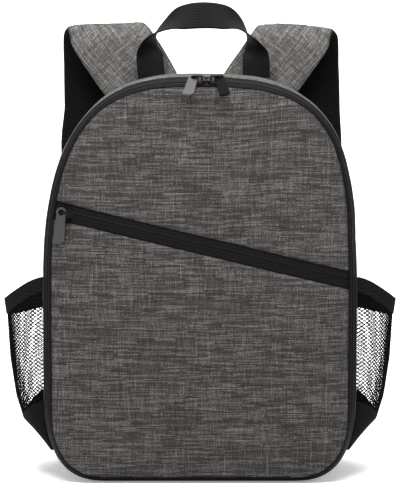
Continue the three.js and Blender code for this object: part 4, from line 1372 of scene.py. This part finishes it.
# The right main pull takes the copy with painted shade, the left the lit copy of the same nickel.
HARD_PIECES = [("slider", DARK_GUNMETAL, 0.35), ("main_zip_pull_right", PULL_PAINTED_SHADE, 0.35),
               ("main_zip_pull_left", LIT_PULL_NICKEL, 0.35), ("pull", GUNMETAL, 0.35),
               ("adjuster", PLASTIC, 0.6)]


def metal_and_plastic():
    """The CAD's own hard pieces, with their finish and the bevel of their edges."""
    for name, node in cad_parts.items():
        finish = next(((m, w) for part, m, w in HARD_PIECES if part in name), None)
        if finish is None:
            continue
        material, width = finish
        node.data.materials.clear()
        node.data.materials.append(material)
        bevel = node.modifiers.new("edges", "BEVEL")
        bevel.width = width * MM
        bevel.segments = 2
        bevel.limit_method = "ANGLE"
        bevel.angle_limit = math.radians(35)


# The studio

LAMPS = [  # name, place, aim, size and watts
    ("key", (-0.06, -0.5, 0.98), (0, 0, 0.36), (0.7, 0.35), 15),
    ("left", (-1.5, -0.8, 0.85), (0, 0, 0.26), (0.8, 1.0), 5),
    ("right", (1.5, -0.8, 0.85), (0, 0, 0.26), (0.8, 1.0), 5),
    ("top", (0, 0.35, 1.7), (0, 0, 0.2), (1.6, 1.0), 24),
    ("wall", (0, 0.8, 2.0), (0, 3.0, 0.9), (2.4, 1.0), 60),
]


def studio():
    """A white sweep of floor and wall, five soft lamps and the air's light."""
    floor = bpy.data.meshes.new("studio_floor")
    reach, back, high, bend = 6.0, 3.0, 6.0, 1.2
    profile = [(-reach, 0), (back - bend, 0)]
    profile += [(back - bend + bend * math.sin(a), bend - bend * math.cos(a))
                for a in np.linspace(0.1, math.pi / 2, 14)]
    profile.append((back, high))
    points = [(x, y, z) for y, z in profile for x in (-reach, reach)]
    faces = [(2 * i, 2 * i + 1, 2 * i + 3, 2 * i + 2) for i in range(len(profile) - 1)]
    floor.from_pydata(points, [], faces)
    floor.shade_smooth()
    sweep = bpy.data.objects.new("studio_floor", floor)
    bpy.context.scene.collection.objects.link(sweep)
    white, n, shader = new_material("studio white", 0.9, specular=0.1)
    shader["Base Color"].default_value = (0.96, 0.96, 0.96, 1)
    shader["Emission Color"].default_value = (1, 1, 1, 1)
    shader["Emission Strength"].default_value = 0.25
    floor.materials.append(white)

    def lamp(name, place, aim, size, power):
        light = bpy.data.lights.new(name, "AREA")
        light.shape = "RECTANGLE"
        light.size, light.size_y = size
        light.energy = power
        item = bpy.data.objects.new(name, light)
        item.location = place
        item.rotation_euler = (Vector(aim) - Vector(place)).to_track_quat("-Z", "Y").to_euler()
        bpy.context.scene.collection.objects.link(item)

    for values in LAMPS:
        lamp(*values)
    world = bpy.data.worlds.new("studio air")
    world.use_nodes = True
    world.node_tree.nodes["Background"].inputs["Color"].default_value = (1, 1, 1, 1)
    world.node_tree.nodes["Background"].inputs["Strength"].default_value = 0.42
    bpy.context.scene.world = world
    bpy.context.scene.view_settings.view_transform = "Standard"


CAMERA_LENS = 149.94
CAMERA_PLACE = (0, -1.987, 0.4314)
CAMERA_AIM = (0, 0, 0.2236)


def camera():
    lens = bpy.data.cameras.new("camera")
    lens.sensor_fit = "AUTO"
    lens.sensor_width = 36
    lens.lens = CAMERA_LENS
    item = bpy.data.objects.new("camera", lens)
    item.location = CAMERA_PLACE
    item.rotation_euler = (Vector(CAMERA_AIM) - item.location).to_track_quat("-Z", "Y").to_euler()
    bpy.context.scene.collection.objects.link(item)
    bpy.context.scene.camera = item


camera()
studio()
gusset_cover()
base_cover()
main_zip()
bottom_band()
front_panels()
pocket_zip()
back_pad()
top_handle()
straps()
strap_stitches()
strap_ends()
pocket_rims()
rim_stitches()
pocket_bases()
pocket_nets()
metal_and_plastic()
